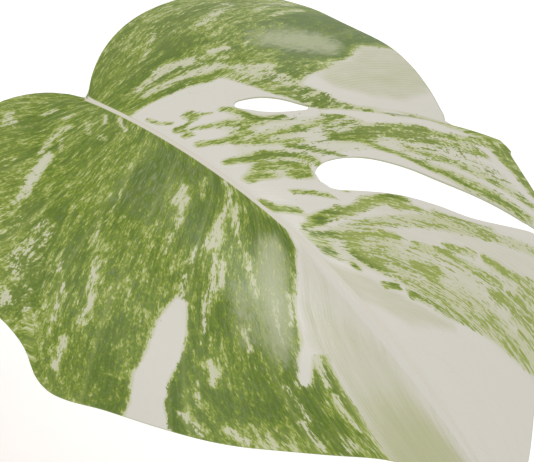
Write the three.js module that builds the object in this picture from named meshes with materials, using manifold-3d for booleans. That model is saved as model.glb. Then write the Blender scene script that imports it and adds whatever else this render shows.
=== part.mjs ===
// A potted variegated monstera: a clay pot filled with soil, one upright stem with five
// split leaves on long petioles, a rolled new leaf and two aerial roots.
// Millimetres, +Z up. The origin is the centre of the pot's underside.

import * as THREE from 'three';
import { mergeVertices } from 'three/addons/utils/BufferGeometryUtils.js';
import Module from 'manifold-3d';

const wasm = await Module();
wasm.setup();

// Driving dimensions

const air = 0.3; // clearance between pieces that touch

const pot = {
  height: 128, footRadius: 57, rimRadius: 80, rimDepth: 30, rimStep: 4,
  wall: 6, floor: 9, edge: 2, sides: 40,
  drains: 3, drainRadius: 5, drainCircle: 34,
};

const soil = { level: 112, crown: 3, ripple: 1.4, inset: 0.5, rings: 6, sides: 36 };

const stem = {
  foot: 58, top: 236, footRadius: 10.5, topRadius: 7.5, sway: 7,
  nodeSwell: 1.6, nodeReach: 5, steps: 34, sides: 14,
};

const petiole = {
  baseRadius: 7.6, shaftRadius: 4.1, endRadius: 3.4, kneeSwell: 1.3, kneeLength: 16,
  sheath: 0.38, groove: 0.42, steps: 15, sides: 10,
};

const blade = {
  length: 262, thickness: 0.8, ribHeight: 3, ribWidth: 3.2, ribSeat: 7,
  rowCrowding: 1.2, veinCrowding: 1.5, lipStep: 0.006,
};

const spear = { length: 150, radius: 5.2, tipRadius: 0.7, lean: 16, steps: 14, sides: 10 };

const root = { radius: 2.3, tipRadius: 1.5, depth: 22, steps: 12, sides: 8 };

const colours = {
  clay: 0xb5714a, earth: 0x3a2a1e, stalk: 0x6f8a45, bark: 0x7d7350,
  leaf: 0x7f924d, cream: 0xcbc8b1, root: 0x7a5c3c,
};

// Leaf shapes
// Each half of a blade is drawn by its side veins. A vein is named by its place, 0 at the
// notch where the petiole joins and 1 at the tip. `leave` is the angle between the vein and
// the way to the tip where it leaves the midrib, `curl` how far it turns to the tip in each
// 100 mm, and `reach` its length to the margin. All are given for a blade of full length.

const wideHalf = {
  leave: [[0, 126], [0.17, 94], [0.33, 79], [0.5, 65], [0.67, 51], [0.83, 38], [1, 28]],
  curl: [[0, 58], [0.17, 34], [0.33, 22], [0.5, 19], [0.67, 20], [0.83, 25], [1, 30]],
  reach: [[0, 118], [0.05, 141], [0.1, 146], [0.14, 153], [0.2, 149.5], [0.27, 141.5], [0.34, 132.5],
    [0.354, 132], [0.366, 154.5], [0.38, 153.5], [0.45, 151.5], [0.49, 145], [0.58, 120], [0.7, 83],
    [0.85, 44], [1, 0]],
};

const narrowHalf = {
  leave: [[0, 170], [0.17, 112], [0.33, 92], [0.5, 68], [0.67, 46], [0.83, 34], [1, 26]],
  curl: [[0, 70], [0.17, 40], [0.33, 38], [0.5, 46], [0.67, 48], [0.83, 50], [1, 50]],
  reach: [[0, 18], [0.04, 75], [0.08, 93], [0.16, 107], [0.2, 111.5], [0.228, 118], [0.242, 127.5],
    [0.265, 132], [0.3, 131.5], [0.35, 127.5], [0.42, 124.5], [0.46, 121.7], [0.5, 116], [0.58, 100],
    [0.67, 78.5], [0.83, 41], [1, 0]],
};

const heartHalf = {
  leave: [[0, 150], [0.17, 108], [0.33, 86], [0.5, 67], [0.67, 50], [0.83, 37], [1, 28]],
  curl: [[0, 60], [0.17, 38], [0.33, 30], [0.5, 30], [0.67, 32], [0.83, 36], [1, 40]],
  reach: [[0, 34], [0.04, 84], [0.09, 108], [0.16, 120], [0.28, 127], [0.4, 124], [0.52, 109],
    [0.66, 80], [0.82, 44], [1, 0]],
};

// A slit opens along one vein between two shares of its reach. `half` is the greatest
// half-width as a share of the midrib, `blunt` and `taper` shape its two ends, `lean` bends
// it across the vein, and `lift` raises the edge on the tip's side over the other.

const slit = (vein, from, to, half, more = {}) => ({
  vein, from, to, half, blunt: 0.45, taper: 0.9, lean: [[0, 0], [1, 0]], lift: 0, spread: 0.09, ...more,
});

const holeLean = [[0, 0], [0.15, -0.012], [0.27, -0.019], [0.32, -0.0095], [0.38, 0], [0.42, 0.008],
  [0.46, 0.017], [0.6, 0.01], [1, 0]];
const slotLean = [[0, 0], [0.22, -0.002], [0.3, -0.009], [0.42, -0.0096], [0.54, 0], [0.62, 0.0085],
  [0.7, 0.0105], [0.87, 0.008], [1, 0.006]];

// A leaf grows from the stem at `height`, towards `azimuth`. Its blade starts at `at`, turned
// by `yaw`, `pitch` and `roll`. It droops and sweeps sideways along its length, and each half
// starts at `rise` and curls down by `curl` degrees in each 120 mm.

const leaves = [
  {
    name: 'leaf_1', rows: 14, columns: 6, length: 142, height: 124, azimuth: 288, at: [34, -122, 236],
    yaw: 286, pitch: 12, roll: 5, droop: 30, sweep: -6, wave: 1.5, phase: 0.2,
    port: { shape: heartHalf, rise: -8, curl: 30, slits: [] },
    starboard: { shape: heartHalf, rise: -6, curl: 36, slits: [] },
  },
  {
    name: 'leaf_2', rows: 16, columns: 7, length: 184, height: 147, azimuth: 228, at: [-98, -112, 312],
    yaw: 226, pitch: 10, roll: -7, droop: 38, sweep: 8, wave: 2, phase: 1.4,
    port: { shape: heartHalf, rise: -8, curl: 34, slits: [slit(0.42, 0.5, 1.05, 0.014)] },
    starboard: { shape: heartHalf, rise: -5, curl: 30, slits: [slit(0.36, 0.3, 0.56, 0.014)] },
  },
  {
    name: 'leaf_3', rows: 20, columns: 9, length: 212, height: 170, azimuth: 80, at: [14, 132, 376],
    yaw: 84, pitch: 6, roll: 4, droop: 40, sweep: -9, wave: 2.5, phase: 2.3,
    port: {
      shape: heartHalf, rise: -9, curl: 36,
      slits: [slit(0.31, 0.42, 1.05, 0.015), slit(0.47, 0.34, 1.05, 0.02, { blunt: 0.3, taper: 0.7 })],
    },
    starboard: { shape: wideHalf, rise: -6, curl: 32, slits: [slit(0.36, 0.4, 1.05, 0.016)] },
  },
  {
    name: 'leaf_4', rows: 36, columns: 12, length: 262, height: 192, azimuth: 346, at: [165, -40, 415],
    yaw: -34.6, pitch: -4.7, roll: -6, droop: 45.3, sweep: 13.3, wave: 0, phase: 0,
    port: {
      shape: wideHalf, rise: -9.1, curl: 24.3,
      slits: [
        slit(0.33, 0.26, 0.47, 0.0205, { blunt: 0.7, lean: holeLean }),
        slit(0.36, 0.66, 1.1, 0.003, { lift: 5 }),
        slit(0.49, 0.221, 0.94, 0.031, { blunt: 0.35, taper: 1, lean: slotLean }),
        slit(0.49, 0.88, 1.06, 0.002, { blunt: 0.3, taper: 0.3 }),
      ],
    },
    starboard: { shape: narrowHalf, rise: 0.1, curl: 70, slits: [] },
  },
  {
    name: 'leaf_5', rows: 22, columns: 9, length: 240, height: 214, azimuth: 166, at: [-142, 34, 436],
    yaw: 168, pitch: 2, roll: 6, droop: 42, sweep: 9, wave: 2.5, phase: 0.9,
    port: {
      shape: heartHalf, rise: -8, curl: 38,
      slits: [slit(0.34, 0.36, 1.05, 0.018), slit(0.5, 0.3, 1.05, 0.02, { blunt: 0.3, taper: 0.7 })],
    },
    starboard: {
      shape: wideHalf, rise: -7, curl: 30,
      slits: [slit(0.36, 0.5, 1.05, 0.014), slit(0.47, 0.22, 0.5, 0.018)],
    },
  },
];

const roots = [
  { name: 'aerial_root_1', height: 142, azimuth: 20, landing: 34 },
  { name: 'aerial_root_2', height: 164, azimuth: 150, landing: 38 },
];

// Small maths

const turn = Math.PI * 2;
const radians = (degrees) => (degrees * Math.PI) / 180;
const vec = (x, y, z) => new THREE.Vector3(x, y, z);
const mix = THREE.MathUtils.lerp;

/** A smooth curve through [place, value] knots. */
function through(knots, place) {
  let i = knots.findIndex(([p]) => p > place) - 1;
  if (i < 0) i = place <= knots[0][0] ? 0 : knots.length - 2;
  const slope = (k) => {
    const [p0, v0] = knots[Math.max(k - 1, 0)];
    const [p1, v1] = knots[Math.min(k + 1, knots.length - 1)];
    return (v1 - v0) / (p1 - p0);
  };
  const [p, v] = knots[i];
  const [q, w] = knots[i + 1];
  const span = q - p;
  const u = THREE.MathUtils.clamp((place - p) / span, 0, 1);
  return v * (1 + 2 * u) * (1 - u) ** 2 + slope(i) * span * u * (1 - u) ** 2
    + w * u * u * (3 - 2 * u) + slope(i + 1) * span * u * u * (u - 1);
}

/** How far a path that turns steadily from angle `start` runs on and across in `distance`. */
function arc(start, rate, distance) {
  const steady = Math.abs(rate) < 1e-9 ? 1e-9 : rate;
  const end = start + steady * distance;
  return {
    on: (Math.sin(end) - Math.sin(start)) / steady,
    across: (Math.cos(start) - Math.cos(end)) / steady,
  };
}

// Solids

function solidOf(geometry) {
  const bare = geometry.clone();
  bare.deleteAttribute('uv');
  bare.deleteAttribute('normal');
  const merged = mergeVertices(bare, 1e-4);
  return new wasm.Manifold(new wasm.Mesh({
    numProp: 3,
    vertProperties: new Float32Array(merged.attributes.position.array),
    triVerts: new Uint32Array(merged.index.array),
  }));
}

function geometryOf(solid) {
  const mesh = solid.getMesh();
  const geometry = new THREE.BufferGeometry();
  geometry.setAttribute('position', new THREE.BufferAttribute(mesh.vertProperties, 3));
  geometry.setIndex(new THREE.BufferAttribute(mesh.triVerts, 1));
  geometry.computeVertexNormals();
  return geometry;
}

function meshOf(name, geometry, colour, roughness) {
  const material = new THREE.MeshStandardMaterial({ color: colour, roughness, metalness: 0 });
  const mesh = new THREE.Mesh(geometry, material);
  mesh.name = name;
  return mesh;
}

/** A closed tube along a curve: `radius(along, around)` in mm, `side` is where around = 0 looks. */
function tube(curve, steps, sides, radius, side) {
  const positions = [];
  const faces = [];
  for (let i = 0; i <= steps; i++) {
    const along = i / steps;
    const centre = curve.getPointAt(along);
    const ahead = curve.getTangentAt(along);
    const out = side.clone().addScaledVector(ahead, -side.dot(ahead)).normalize();
    const left = ahead.clone().cross(out);
    for (let j = 0; j < sides; j++) {
      const around = (turn * j) / sides;
      const r = radius(along, around);
      const point = centre.clone()
        .addScaledVector(out, r * Math.cos(around))
        .addScaledVector(left, r * Math.sin(around));
      positions.push(...point.toArray());
    }
  }
  const corner = (i, j) => i * sides + (j % sides);
  for (let i = 0; i < steps; i++) {
    for (let j = 0; j < sides; j++) {
      faces.push(corner(i, j), corner(i, j + 1), corner(i + 1, j + 1));
      faces.push(corner(i, j), corner(i + 1, j + 1), corner(i + 1, j));
    }
  }
  for (const [ring, along] of [[0, 0], [steps, 1]]) {
    const middle = positions.length / 3;
    positions.push(...curve.getPointAt(along).toArray());
    for (let j = 0; j < sides; j++) {
      const rim = [corner(ring, j), corner(ring, j + 1)];
      if (along === 0) rim.reverse();
      faces.push(middle, ...rim);
    }
  }
  const geometry = new THREE.BufferGeometry();
  geometry.setAttribute('position', new THREE.Float32BufferAttribute(positions, 3));
  geometry.setIndex(faces);
  geometry.computeVertexNormals();
  return geometry;
}

/** A lathe about +Z from [radius, height] pairs that start and end on the axis. */
function turned(profile, sides) {
  const points = profile.map(([r, z]) => new THREE.Vector2(r, z));
  return new THREE.LatheGeometry(points, sides).rotateX(Math.PI / 2);
}

// Pot and soil

const rimFoot = pot.height - pot.rimDepth;
const wallRadius = (z) => mix(pot.footRadius, pot.rimRadius - pot.rimStep - 2, z / rimFoot);
const innerRadius = (z) => wallRadius(z) - pot.wall;

function potGeometry() {
  const rimInner = pot.rimRadius - pot.wall;
  const body = turned([
    [0, 0], [pot.footRadius - pot.edge, 0], [wallRadius(pot.edge), pot.edge],
    [wallRadius(rimFoot), rimFoot], [pot.rimRadius - pot.edge, rimFoot + 1],
    [pot.rimRadius - 0.6, rimFoot + pot.edge + 1],
    [pot.rimRadius, pot.height - pot.edge], [pot.rimRadius - 0.6, pot.height - 0.6],
    [pot.rimRadius - pot.edge, pot.height], [rimInner + pot.edge, pot.height],
    [rimInner + 0.6, pot.height - 0.6], [rimInner, pot.height - pot.edge],
    [innerRadius(rimFoot), rimFoot - 2], [innerRadius(pot.floor), pot.floor], [0, pot.floor],
  ], pot.sides);
  let solid = solidOf(body);
  for (let i = 0; i < pot.drains; i++) {
    const angle = (turn * i) / pot.drains;
    const hole = new THREE.CylinderGeometry(pot.drainRadius, pot.drainRadius, pot.floor * 3, 16);
    hole.rotateX(Math.PI / 2);
    hole.translate(pot.drainCircle * Math.cos(angle), pot.drainCircle * Math.sin(angle), 0);
    solid = solid.subtract(solidOf(hole));
  }
  return geometryOf(solid);
}

const soilRipple = (x, y) => soil.ripple
  * (Math.sin(0.11 * x + 0.7) * Math.cos(0.13 * y - 0.4) + 0.6 * Math.sin(0.21 * (x - y)));

function soilGeometry(openings) {
  const edgeRadius = innerRadius(soil.level) - soil.inset;
  const profile = [[0, pot.floor + air], [innerRadius(pot.floor) - soil.inset, pot.floor + air]];
  profile.push([innerRadius(rimFoot) - soil.inset, rimFoot - 2], [edgeRadius, soil.level]);
  for (let ring = soil.rings - 1; ring >= 0; ring--) {
    const share = ring / soil.rings;
    profile.push([edgeRadius * share, soil.level + soil.crown * (1 - share * share)]);
  }
  const body = turned(profile, soil.sides);
  const position = body.attributes.position;
  for (let i = 0; i < position.count; i++) {
    const [x, y, z] = [position.getX(i), position.getY(i), position.getZ(i)];
    if (z < soil.level || Math.hypot(x, y) > edgeRadius - 1) continue;
    position.setZ(i, z + soilRipple(x, y));
  }
  return geometryOf(openings.reduce((solid, opening) => solid.subtract(opening), solidOf(body)));
}

// Stem

const stemCurve = new THREE.CatmullRomCurve3([0, 0.25, 0.5, 0.75, 1].map((share) => vec(
  stem.sway * (Math.sin(3.6 * share) - 0.3 * share),
  -0.5 * stem.sway * Math.sin(2.6 * share + 0.3),
  mix(stem.foot, stem.top, share),
)));

const stemShare = (z) => (z - stem.foot) / (stem.top - stem.foot);

function stemRadius(z) {
  const bare = mix(stem.footRadius, stem.topRadius, stemShare(z));
  const swell = leaves.reduce((sum, leaf) => sum
    + stem.nodeSwell * Math.exp(-(((z - leaf.height + 2) / stem.nodeReach) ** 2)), 0);
  const soften = Math.sqrt(Math.min(1, Math.max(0.05, (stem.top - z) / 8)));
  return (bare + swell) * soften;
}

function stemGeometry(extra = 0) {
  const radius = (along) => stemRadius(mix(stem.foot, stem.top, along)) + extra;
  return tube(stemCurve, stem.steps, stem.sides, radius, vec(1, 0, 0));
}

// Blades

function slitOpening(cut, share) {
  const along = (share - cut.from) / (cut.to - cut.from);
  const lean = through(cut.lean, share);
  if (along <= 0 || along >= 1) return { gap: 0, lean, lift: 0 };
  const widest = cut.blunt / (cut.blunt + cut.taper);
  const shape = (a) => a ** cut.blunt * (1 - a) ** cut.taper;
  return { gap: (cut.half * shape(along)) / shape(widest), lean, lift: cut.lift * along };
}

/** How far a slit that is open to the margin has parted its two edges, 0 to 1. */
function parted(cut, share) {
  return cut.to > 1 ? THREE.MathUtils.clamp((share - cut.from) / (cut.to - cut.from), 0, 1) : 0;
}

/** A point of a flat half: vein `place`, `share` of its reach, beside the slits it passes. */
function flatPoint(half, scale, row, share) {
  let place = row.place;
  let margin = row.place;
  let lift = 0;
  for (const cut of half.slits) {
    const away = row.place - cut.vein;
    const near = Math.max(0, 1 - Math.abs(away) / cut.spread) ** 2;
    const side = away === 0 ? row.edge : Math.sign(away);
    const opening = slitOpening(cut, share);
    place += near * (opening.lean + side * opening.gap);
    if (away === 0) margin += side * blade.lipStep * parted(cut, share);
    lift += near * side * opening.lift * 0.5;
  }
  const leave = radians(through(half.shape.leave, place));
  const rate = radians(through(half.shape.curl, place)) / 100;
  const distance = share * through(half.shape.reach, margin);
  const path = arc(leave, -rate, distance);
  return {
    x: scale * (blade.length * place ** blade.veinCrowding + path.on),
    y: scale * path.across,
    lift: scale * lift,
  };
}

/** The flat leaf's point, bent: it droops, sweeps, and each half curls about the midrib. */
function bentPoint(leaf, side, flat, share, place) {
  const half = side > 0 ? leaf.port : leaf.starboard;
  const [yaw, pitch, roll] = [leaf.yaw, leaf.pitch, leaf.roll].map(radians);
  const ahead = vec(Math.cos(yaw) * Math.cos(pitch), Math.sin(yaw) * Math.cos(pitch), -Math.sin(pitch));
  const level = vec(-Math.sin(yaw), Math.cos(yaw), 0);
  const over = ahead.clone().cross(level);
  const left = level.clone().multiplyScalar(Math.cos(roll)).addScaledVector(over, Math.sin(roll));
  const up = over.clone().multiplyScalar(Math.cos(roll)).addScaledVector(level, -Math.sin(roll));
  const droop = radians(leaf.droop) / leaf.length;
  const sweep = radians(leaf.sweep) / leaf.length;
  const rib = arc(0, droop, flat.x);
  const bow = droop * flat.x;
  const swing = sweep * flat.x;
  const tangent = ahead.clone().multiplyScalar(Math.cos(bow)).addScaledVector(up, -Math.sin(bow));
  const normal = ahead.clone().multiplyScalar(Math.sin(bow)).addScaledVector(up, Math.cos(bow));
  const across = left.clone().multiplyScalar(Math.cos(swing)).addScaledVector(tangent, Math.sin(swing));
  const rise = radians(half.rise);
  const curl = (radians(half.curl) / 120) * (blade.length / leaf.length);
  const cross = arc(rise, curl, flat.y);
  const tilt = rise + curl * flat.y;
  const wave = leaf.wave * share * share * Math.sin(turn * (2.6 * place + 0.12 * side) + leaf.phase + side);
  return vec(...leaf.at)
    .addScaledVector(ahead, rib.on)
    .addScaledVector(up, -rib.across)
    .addScaledVector(left, -0.5 * sweep * flat.x * flat.x)
    .addScaledVector(across, side * cross.on)
    .addScaledVector(normal, -cross.across)
    .addScaledVector(normal, (wave + flat.lift) * Math.cos(tilt))
    .addScaledVector(across, side * (wave + flat.lift) * Math.sin(tilt));
}

/** Evenly spread places, with the nearest one moved onto each key and doubled if asked. */
function placesWith(count, crowding, keys, doubled) {
  const places = Array.from({ length: count + 1 }, (_, i) => ({ place: (i / count) ** crowding, edge: 0 }));
  for (const key of keys) {
    const free = places.filter((item) => item.place > 0 && item.place < 1 && !item.key);
    const nearest = free.reduce((a, b) => (Math.abs(b.place - key) < Math.abs(a.place - key) ? b : a));
    nearest.place = key;
    nearest.key = true;
  }
  places.sort((a, b) => a.place - b.place);
  if (!doubled) return places;
  return places.flatMap((item) => (item.key
    ? [{ place: item.place, edge: -1 }, { place: item.place, edge: 1 }]
    : [item]));
}

/** The upper face of a blade as shared corners and triangles, split at its slits. */
function bladeSheet(leaf) {
  const scale = leaf.length / blade.length;
  const cuts = [...leaf.port.slits, ...leaf.starboard.slits];
  const veins = [...new Set(cuts.map((cut) => cut.vein))];
  const ends = [...new Set(cuts.flatMap((cut) => [cut.from, cut.to]))].filter((end) => end < 0.97);
  const rows = placesWith(leaf.rows, blade.rowCrowding, veins, true);
  const columns = placesWith(leaf.columns, 1, ends, false).map((item) => item.place);
  const points = [];
  const faces = [];
  const known = new Map();
  const corner = (side, row, share) => {
    const half = side > 0 ? leaf.port : leaf.starboard;
    const flat = flatPoint(half, scale, row, share);
    const point = bentPoint(leaf, side, flat, share, row.place);
    const key = point.toArray().map((value) => value.toFixed(2)).join();
    if (!known.has(key)) {
      known.set(key, points.length);
      points.push({ point, ribDistance: Math.hypot(flat.y, Math.min(flat.x, 0)), place: row.place });
    }
    return known.get(key);
  };
  for (const side of [1, -1]) {
    for (let i = 0; i + 1 < rows.length; i++) {
      if (rows[i].place === rows[i + 1].place) continue;
      for (let j = 0; j + 1 < columns.length; j++) {
        const quad = [[i, j], [i + 1, j], [i + 1, j + 1], [i, j + 1]]
          .map(([row, column]) => corner(side, rows[row], columns[column]));
        if (side < 0) quad.reverse();
        const [a, b, c, d] = quad;
        for (const face of [[a, b, c], [a, c, d]]) {
          if (new Set(face).size === 3) faces.push(face);
        }
      }
    }
  }
  return { points, faces };
}

/** The sheet made solid: its underside stands off by the thickness, with a rib along the middle. */
function bladeGeometry(leaf) {
  const { points, faces } = bladeSheet(leaf);
  const scale = leaf.length / blade.length;
  const normals = points.map(() => vec(0, 0, 0));
  for (const [a, b, c] of faces) {
    const [p, q, r] = [a, b, c].map((k) => points[k].point);
    const normal = q.clone().sub(p).cross(r.clone().sub(p));
    [a, b, c].forEach((k) => normals[k].add(normal));
  }
  const under = points.map(({ point, ribDistance, place }, k) => {
    const rib = blade.ribHeight * scale * (1 - 0.85 * place)
      * Math.exp(-((ribDistance / (blade.ribWidth * scale)) ** 2));
    return point.clone().addScaledVector(normals[k].normalize(), -(blade.thickness + rib));
  });
  const count = points.length;
  const triangles = faces.flatMap(([a, b, c]) => [[a, b, c], [a + count, c + count, b + count]]);
  const edges = new Set(faces.flatMap(([a, b, c]) => [`${a},${b}`, `${b},${c}`, `${c},${a}`]));
  for (const edge of edges) {
    const [a, b] = edge.split(',').map(Number);
    if (edges.has(`${b},${a}`)) continue;
    triangles.push([b, a, a + count], [b, a + count, b + count]);
  }
  const geometry = new THREE.BufferGeometry();
  const corners = [...points.map(({ point }) => point), ...under].flatMap((point) => point.toArray());
  geometry.setAttribute('position', new THREE.Float32BufferAttribute(corners, 3));
  geometry.setIndex(triangles.flat());
  geometry.computeVertexNormals();
  return geometry;
}

// Petioles

function seat(leaf) {
  const scale = leaf.length / blade.length;
  const ribShare = blade.ribSeat * scale;
  const flat = { x: ribShare, y: 0, lift: 0 };
  const on = bentPoint(leaf, 1, flat, 0, 0);
  const ahead = bentPoint(leaf, 1, { ...flat, x: ribShare + 1 }, 0, 0).sub(on).normalize();
  const beside = bentPoint(leaf, 1, { ...flat, y: 1 }, 0, 0)
    .sub(bentPoint(leaf, -1, { ...flat, y: 1 }, 0, 0)).normalize();
  const normal = ahead.cross(beside).normalize();
  const depth = blade.thickness + blade.ribHeight * scale + air;
  return { point: on.addScaledVector(normal, -depth), normal };
}

function petioleCurve(leaf) {
  const azimuth = radians(leaf.azimuth);
  const out = vec(Math.cos(azimuth), Math.sin(azimuth), 0);
  const start = stemCurve.getPoint(stemShare(leaf.height)).addScaledVector(out, 2);
  const { point, normal } = seat(leaf);
  const reach = point.distanceTo(start);
  const firstWay = out.clone().multiplyScalar(0.42).add(vec(0, 0, 1)).normalize();
  return new THREE.CubicBezierCurve3(
    start,
    start.clone().addScaledVector(firstWay, reach * 0.45),
    point.clone().addScaledVector(normal, -reach * 0.3),
    point,
  );
}

function petioleGeometry(leaf) {
  const scale = mix(0.8, 1, (leaf.length - 140) / 120);
  const curve = petioleCurve(leaf);
  const length = curve.getLength();
  const azimuth = radians(leaf.azimuth);
  const inward = vec(-Math.cos(azimuth), -Math.sin(azimuth), 0.35).normalize();
  const radius = (along, around) => {
    const sheath = Math.max(0, 1 - along / petiole.sheath);
    const shaft = mix(petiole.shaftRadius, petiole.endRadius, along);
    const base = (petiole.baseRadius - petiole.shaftRadius) * sheath ** 1.5;
    const knee = petiole.kneeSwell * Math.exp(-((((1 - along) * length - 9) / petiole.kneeLength) ** 2));
    const inner = Math.exp(-((Math.atan2(Math.sin(around), Math.cos(around)) / 0.55) ** 2));
    return scale * (shaft + base + knee) * (1 - petiole.groove * inner * Math.min(1, 2 * sheath));
  };
  const shape = solidOf(tube(curve, petiole.steps, petiole.sides, radius, inward));
  return geometryOf(shape.subtract(solidOf(stemGeometry(air))));
}

// New leaf and aerial roots

function spearGeometry() {
  const foot = stemCurve.getPointAt(1).add(vec(0, 0, air));
  const curve = new THREE.QuadraticBezierCurve3(
    foot,
    foot.clone().add(vec(0, 0, spear.length * 0.55)),
    foot.clone().add(vec(spear.lean * 0.5, spear.lean, spear.length)),
  );
  const radius = (along) => {
    const root = mix(0.72, 1, Math.min(1, along / 0.25));
    return Math.max(spear.tipRadius, spear.radius * root * (1 - along ** 3) ** 0.8);
  };
  return tube(curve, spear.steps, spear.sides, radius, vec(1, 0, 0));
}

function rootCurve(item) {
  const azimuth = radians(item.azimuth);
  const out = vec(Math.cos(azimuth), Math.sin(azimuth), 0);
  const start = stemCurve.getPoint(stemShare(item.height)).addScaledVector(out, 3);
  const at = (reach, z) => vec(0, 0, z).addScaledVector(out, reach);
  return new THREE.CatmullRomCurve3([
    start,
    at(item.landing * 0.55, item.height - 5),
    at(item.landing * 0.86, (item.height + soil.level) / 2),
    at(item.landing, soil.level + 2),
    at(item.landing * 1.04, soil.level - root.depth),
  ]);
}

function rootTube(item, extra = 0) {
  const radius = (along) => mix(root.radius, root.tipRadius, along) + extra;
  return tube(rootCurve(item), root.steps, root.sides, radius, vec(0.2, 0.1, 1));
}

function rootGeometry(item) {
  return geometryOf(solidOf(rootTube(item)).subtract(solidOf(stemGeometry(air))));
}

// Assembly

const plant = new THREE.Group();
const openings = [stemGeometry(air), ...roots.map((item) => rootTube(item, air))].map(solidOf);
plant.add(meshOf('pot', potGeometry(), colours.clay, 0.85));
plant.add(meshOf('soil', soilGeometry(openings), colours.earth, 0.95));
plant.add(meshOf('stem', stemGeometry(), colours.bark, 0.6));
for (const item of roots) {
  plant.add(meshOf(item.name, rootGeometry(item), colours.root, 0.8));
}
for (const leaf of leaves) {
  plant.add(meshOf(leaf.name.replace('leaf', 'petiole'), petioleGeometry(leaf), colours.stalk, 0.45));
  plant.add(meshOf(leaf.name, bladeGeometry(leaf), colours.leaf, 0.4));
}
plant.add(meshOf('new_leaf', spearGeometry(), colours.cream, 0.45));

export default plant;
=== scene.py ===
"""A potted variegated monstera, dressed over its CAD frame: five marbled blades on grooved
stalks, the stem with its leaf rings, two air roots, a rolled new leaf, soil and a clay pot.

Blender works in metres. The plant's own measures are kept in millimetres, as in the CAD.
"""

import math
import random

import bmesh
import bpy
import numpy as np
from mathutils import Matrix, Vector, noise


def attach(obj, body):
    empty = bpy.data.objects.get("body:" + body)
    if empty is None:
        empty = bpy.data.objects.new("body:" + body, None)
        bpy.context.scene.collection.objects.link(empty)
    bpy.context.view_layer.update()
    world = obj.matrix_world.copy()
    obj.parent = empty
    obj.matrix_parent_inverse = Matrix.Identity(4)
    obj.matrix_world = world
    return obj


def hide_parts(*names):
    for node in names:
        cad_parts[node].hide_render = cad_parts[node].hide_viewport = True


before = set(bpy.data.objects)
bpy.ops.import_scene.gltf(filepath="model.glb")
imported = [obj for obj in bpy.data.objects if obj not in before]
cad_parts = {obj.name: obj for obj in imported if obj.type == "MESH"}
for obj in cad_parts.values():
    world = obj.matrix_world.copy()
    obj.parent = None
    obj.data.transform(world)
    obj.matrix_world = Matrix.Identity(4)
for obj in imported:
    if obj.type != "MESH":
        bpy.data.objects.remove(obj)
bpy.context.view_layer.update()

MM = 0.001


# Measures, in millimetres and in parts of a length

BLADE = {"length": 262, "thickness": 0.7, "margin": 0.45, "rib_height": 3, "rib_width": 3.2,
         "rib_seat": 7, "row_crowding": 1.2, "column_crowding": 1.3, "vein_crowding": 1.5,
         "lip_step": 0.006, "curl_reach": 120, "waves": 2.6}
RELIEF = {"pleat": 0.28, "valley": 0.7, "valley_width": 7, "ridge": 0.55, "ridge_width": 1.7,
          "unevenness": 0.7, "vein_ridge": 0.5}
STEM = {"foot": 58, "top": 236, "foot_radius": 10.5, "top_radius": 7.5, "sway": 7,
        "node_swell": 1.6, "node_reach": 5, "tip": 8, "lumps": 0.035, "corky": (128, 108)}
# The fine rings at each leaf: how far below it, how high and how wide.
RINGS = [(6, 0.35, 0.7), (7.4, -0.45, 0.6), (9, 0.3, 0.8)]
STALK = {"thinnest": 0.8, "foot": 4.1, "top": 3.4, "sunk": 0.4, "sheath": 0.38,
         "sheath_swell": 3.5, "knee": 9, "knee_swell": 1.3, "knee_reach": 16, "creases": 0.12,
         "groove": 0.42, "wing": 0.2}
ROLL = {"radius": 5.2, "least": 0.5, "rise": 150, "turns": 2.1, "seam": 0.35, "lip": 0.09}
ROOT = {"top": 2.3, "end": 1.5, "wrinkles": 0.1, "lumps": 0.12}
POT = {"height": 128, "foot": 57, "rim": 80, "rim_foot": 98, "rim_step": 6, "wall": 6,
       "floor": 9, "drains": 3, "drain": 5, "drain_ring": 34}
SOIL = {"level": 112, "crown": 3, "edge": 0.5, "radius": 66.3, "ripple": 1.4, "calm": (66, 60)}
CHIPS = {"count": 420, "spread": 65, "clear": 12, "bark": 0.83, "lift": 0.12}
GRAIN = 6  # the grain of stem, stalks and roots is laid out as on a rod of this radius


# Camera

def place_camera():
    """The photograph's view: 47 degrees above the horizon, along +Y, at the largest leaf."""
    lens = bpy.data.cameras.new("camera")
    lens.lens = 124.04
    lens.sensor_width = 36
    lens.clip_start = 0.05
    camera = bpy.data.objects.new("camera", lens)
    camera.location = (0.24283, -0.62757, 0.96094)
    camera.rotation_euler = (math.radians(43), 0, 0)
    bpy.context.scene.collection.objects.link(camera)
    bpy.context.scene.camera = camera


place_camera()


# Small maths

def mix(a, b, share):
    return a + (b - a) * share


def eased(value, low, high):
    """0 below low, 1 above high, smooth between."""
    share = np.clip((value - low) / (high - low), 0, 1)
    return share * share * (3 - 2 * share)


def bell(value, width):
    """1 at 0, falling smoothly to almost nothing at twice the width."""
    return math.exp(-((value / width) ** 2))


def through(knots, place):
    """A smooth curve through (place, value) knots."""
    i = next((k for k, (p, _) in enumerate(knots) if p > place), len(knots)) - 1
    i = min(max(i, 0), len(knots) - 2)

    def slope(k):
        (p0, v0), (p1, v1) = knots[max(k - 1, 0)], knots[min(k + 1, len(knots) - 1)]
        return (v1 - v0) / (p1 - p0)

    (p, v), (q, w) = knots[i], knots[i + 1]
    span = q - p
    u = min(max((place - p) / span, 0), 1)
    return (v * (1 + 2 * u) * (1 - u) ** 2 + slope(i) * span * u * (1 - u) ** 2
            + w * u * u * (3 - 2 * u) + slope(i + 1) * span * u * u * (u - 1))


def arc(start, rate, distance):
    """How far a path that turns steadily from angle start runs on and across in distance."""
    rate = rate if abs(rate) > 1e-9 else 1e-9
    end = start + rate * distance
    return (math.sin(end) - math.sin(start)) / rate, (math.cos(start) - math.cos(end)) / rate


def heading(azimuth):
    """The level direction at an azimuth in degrees."""
    return Vector((math.cos(math.radians(azimuth)), math.sin(math.radians(azimuth)), 0))


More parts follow.
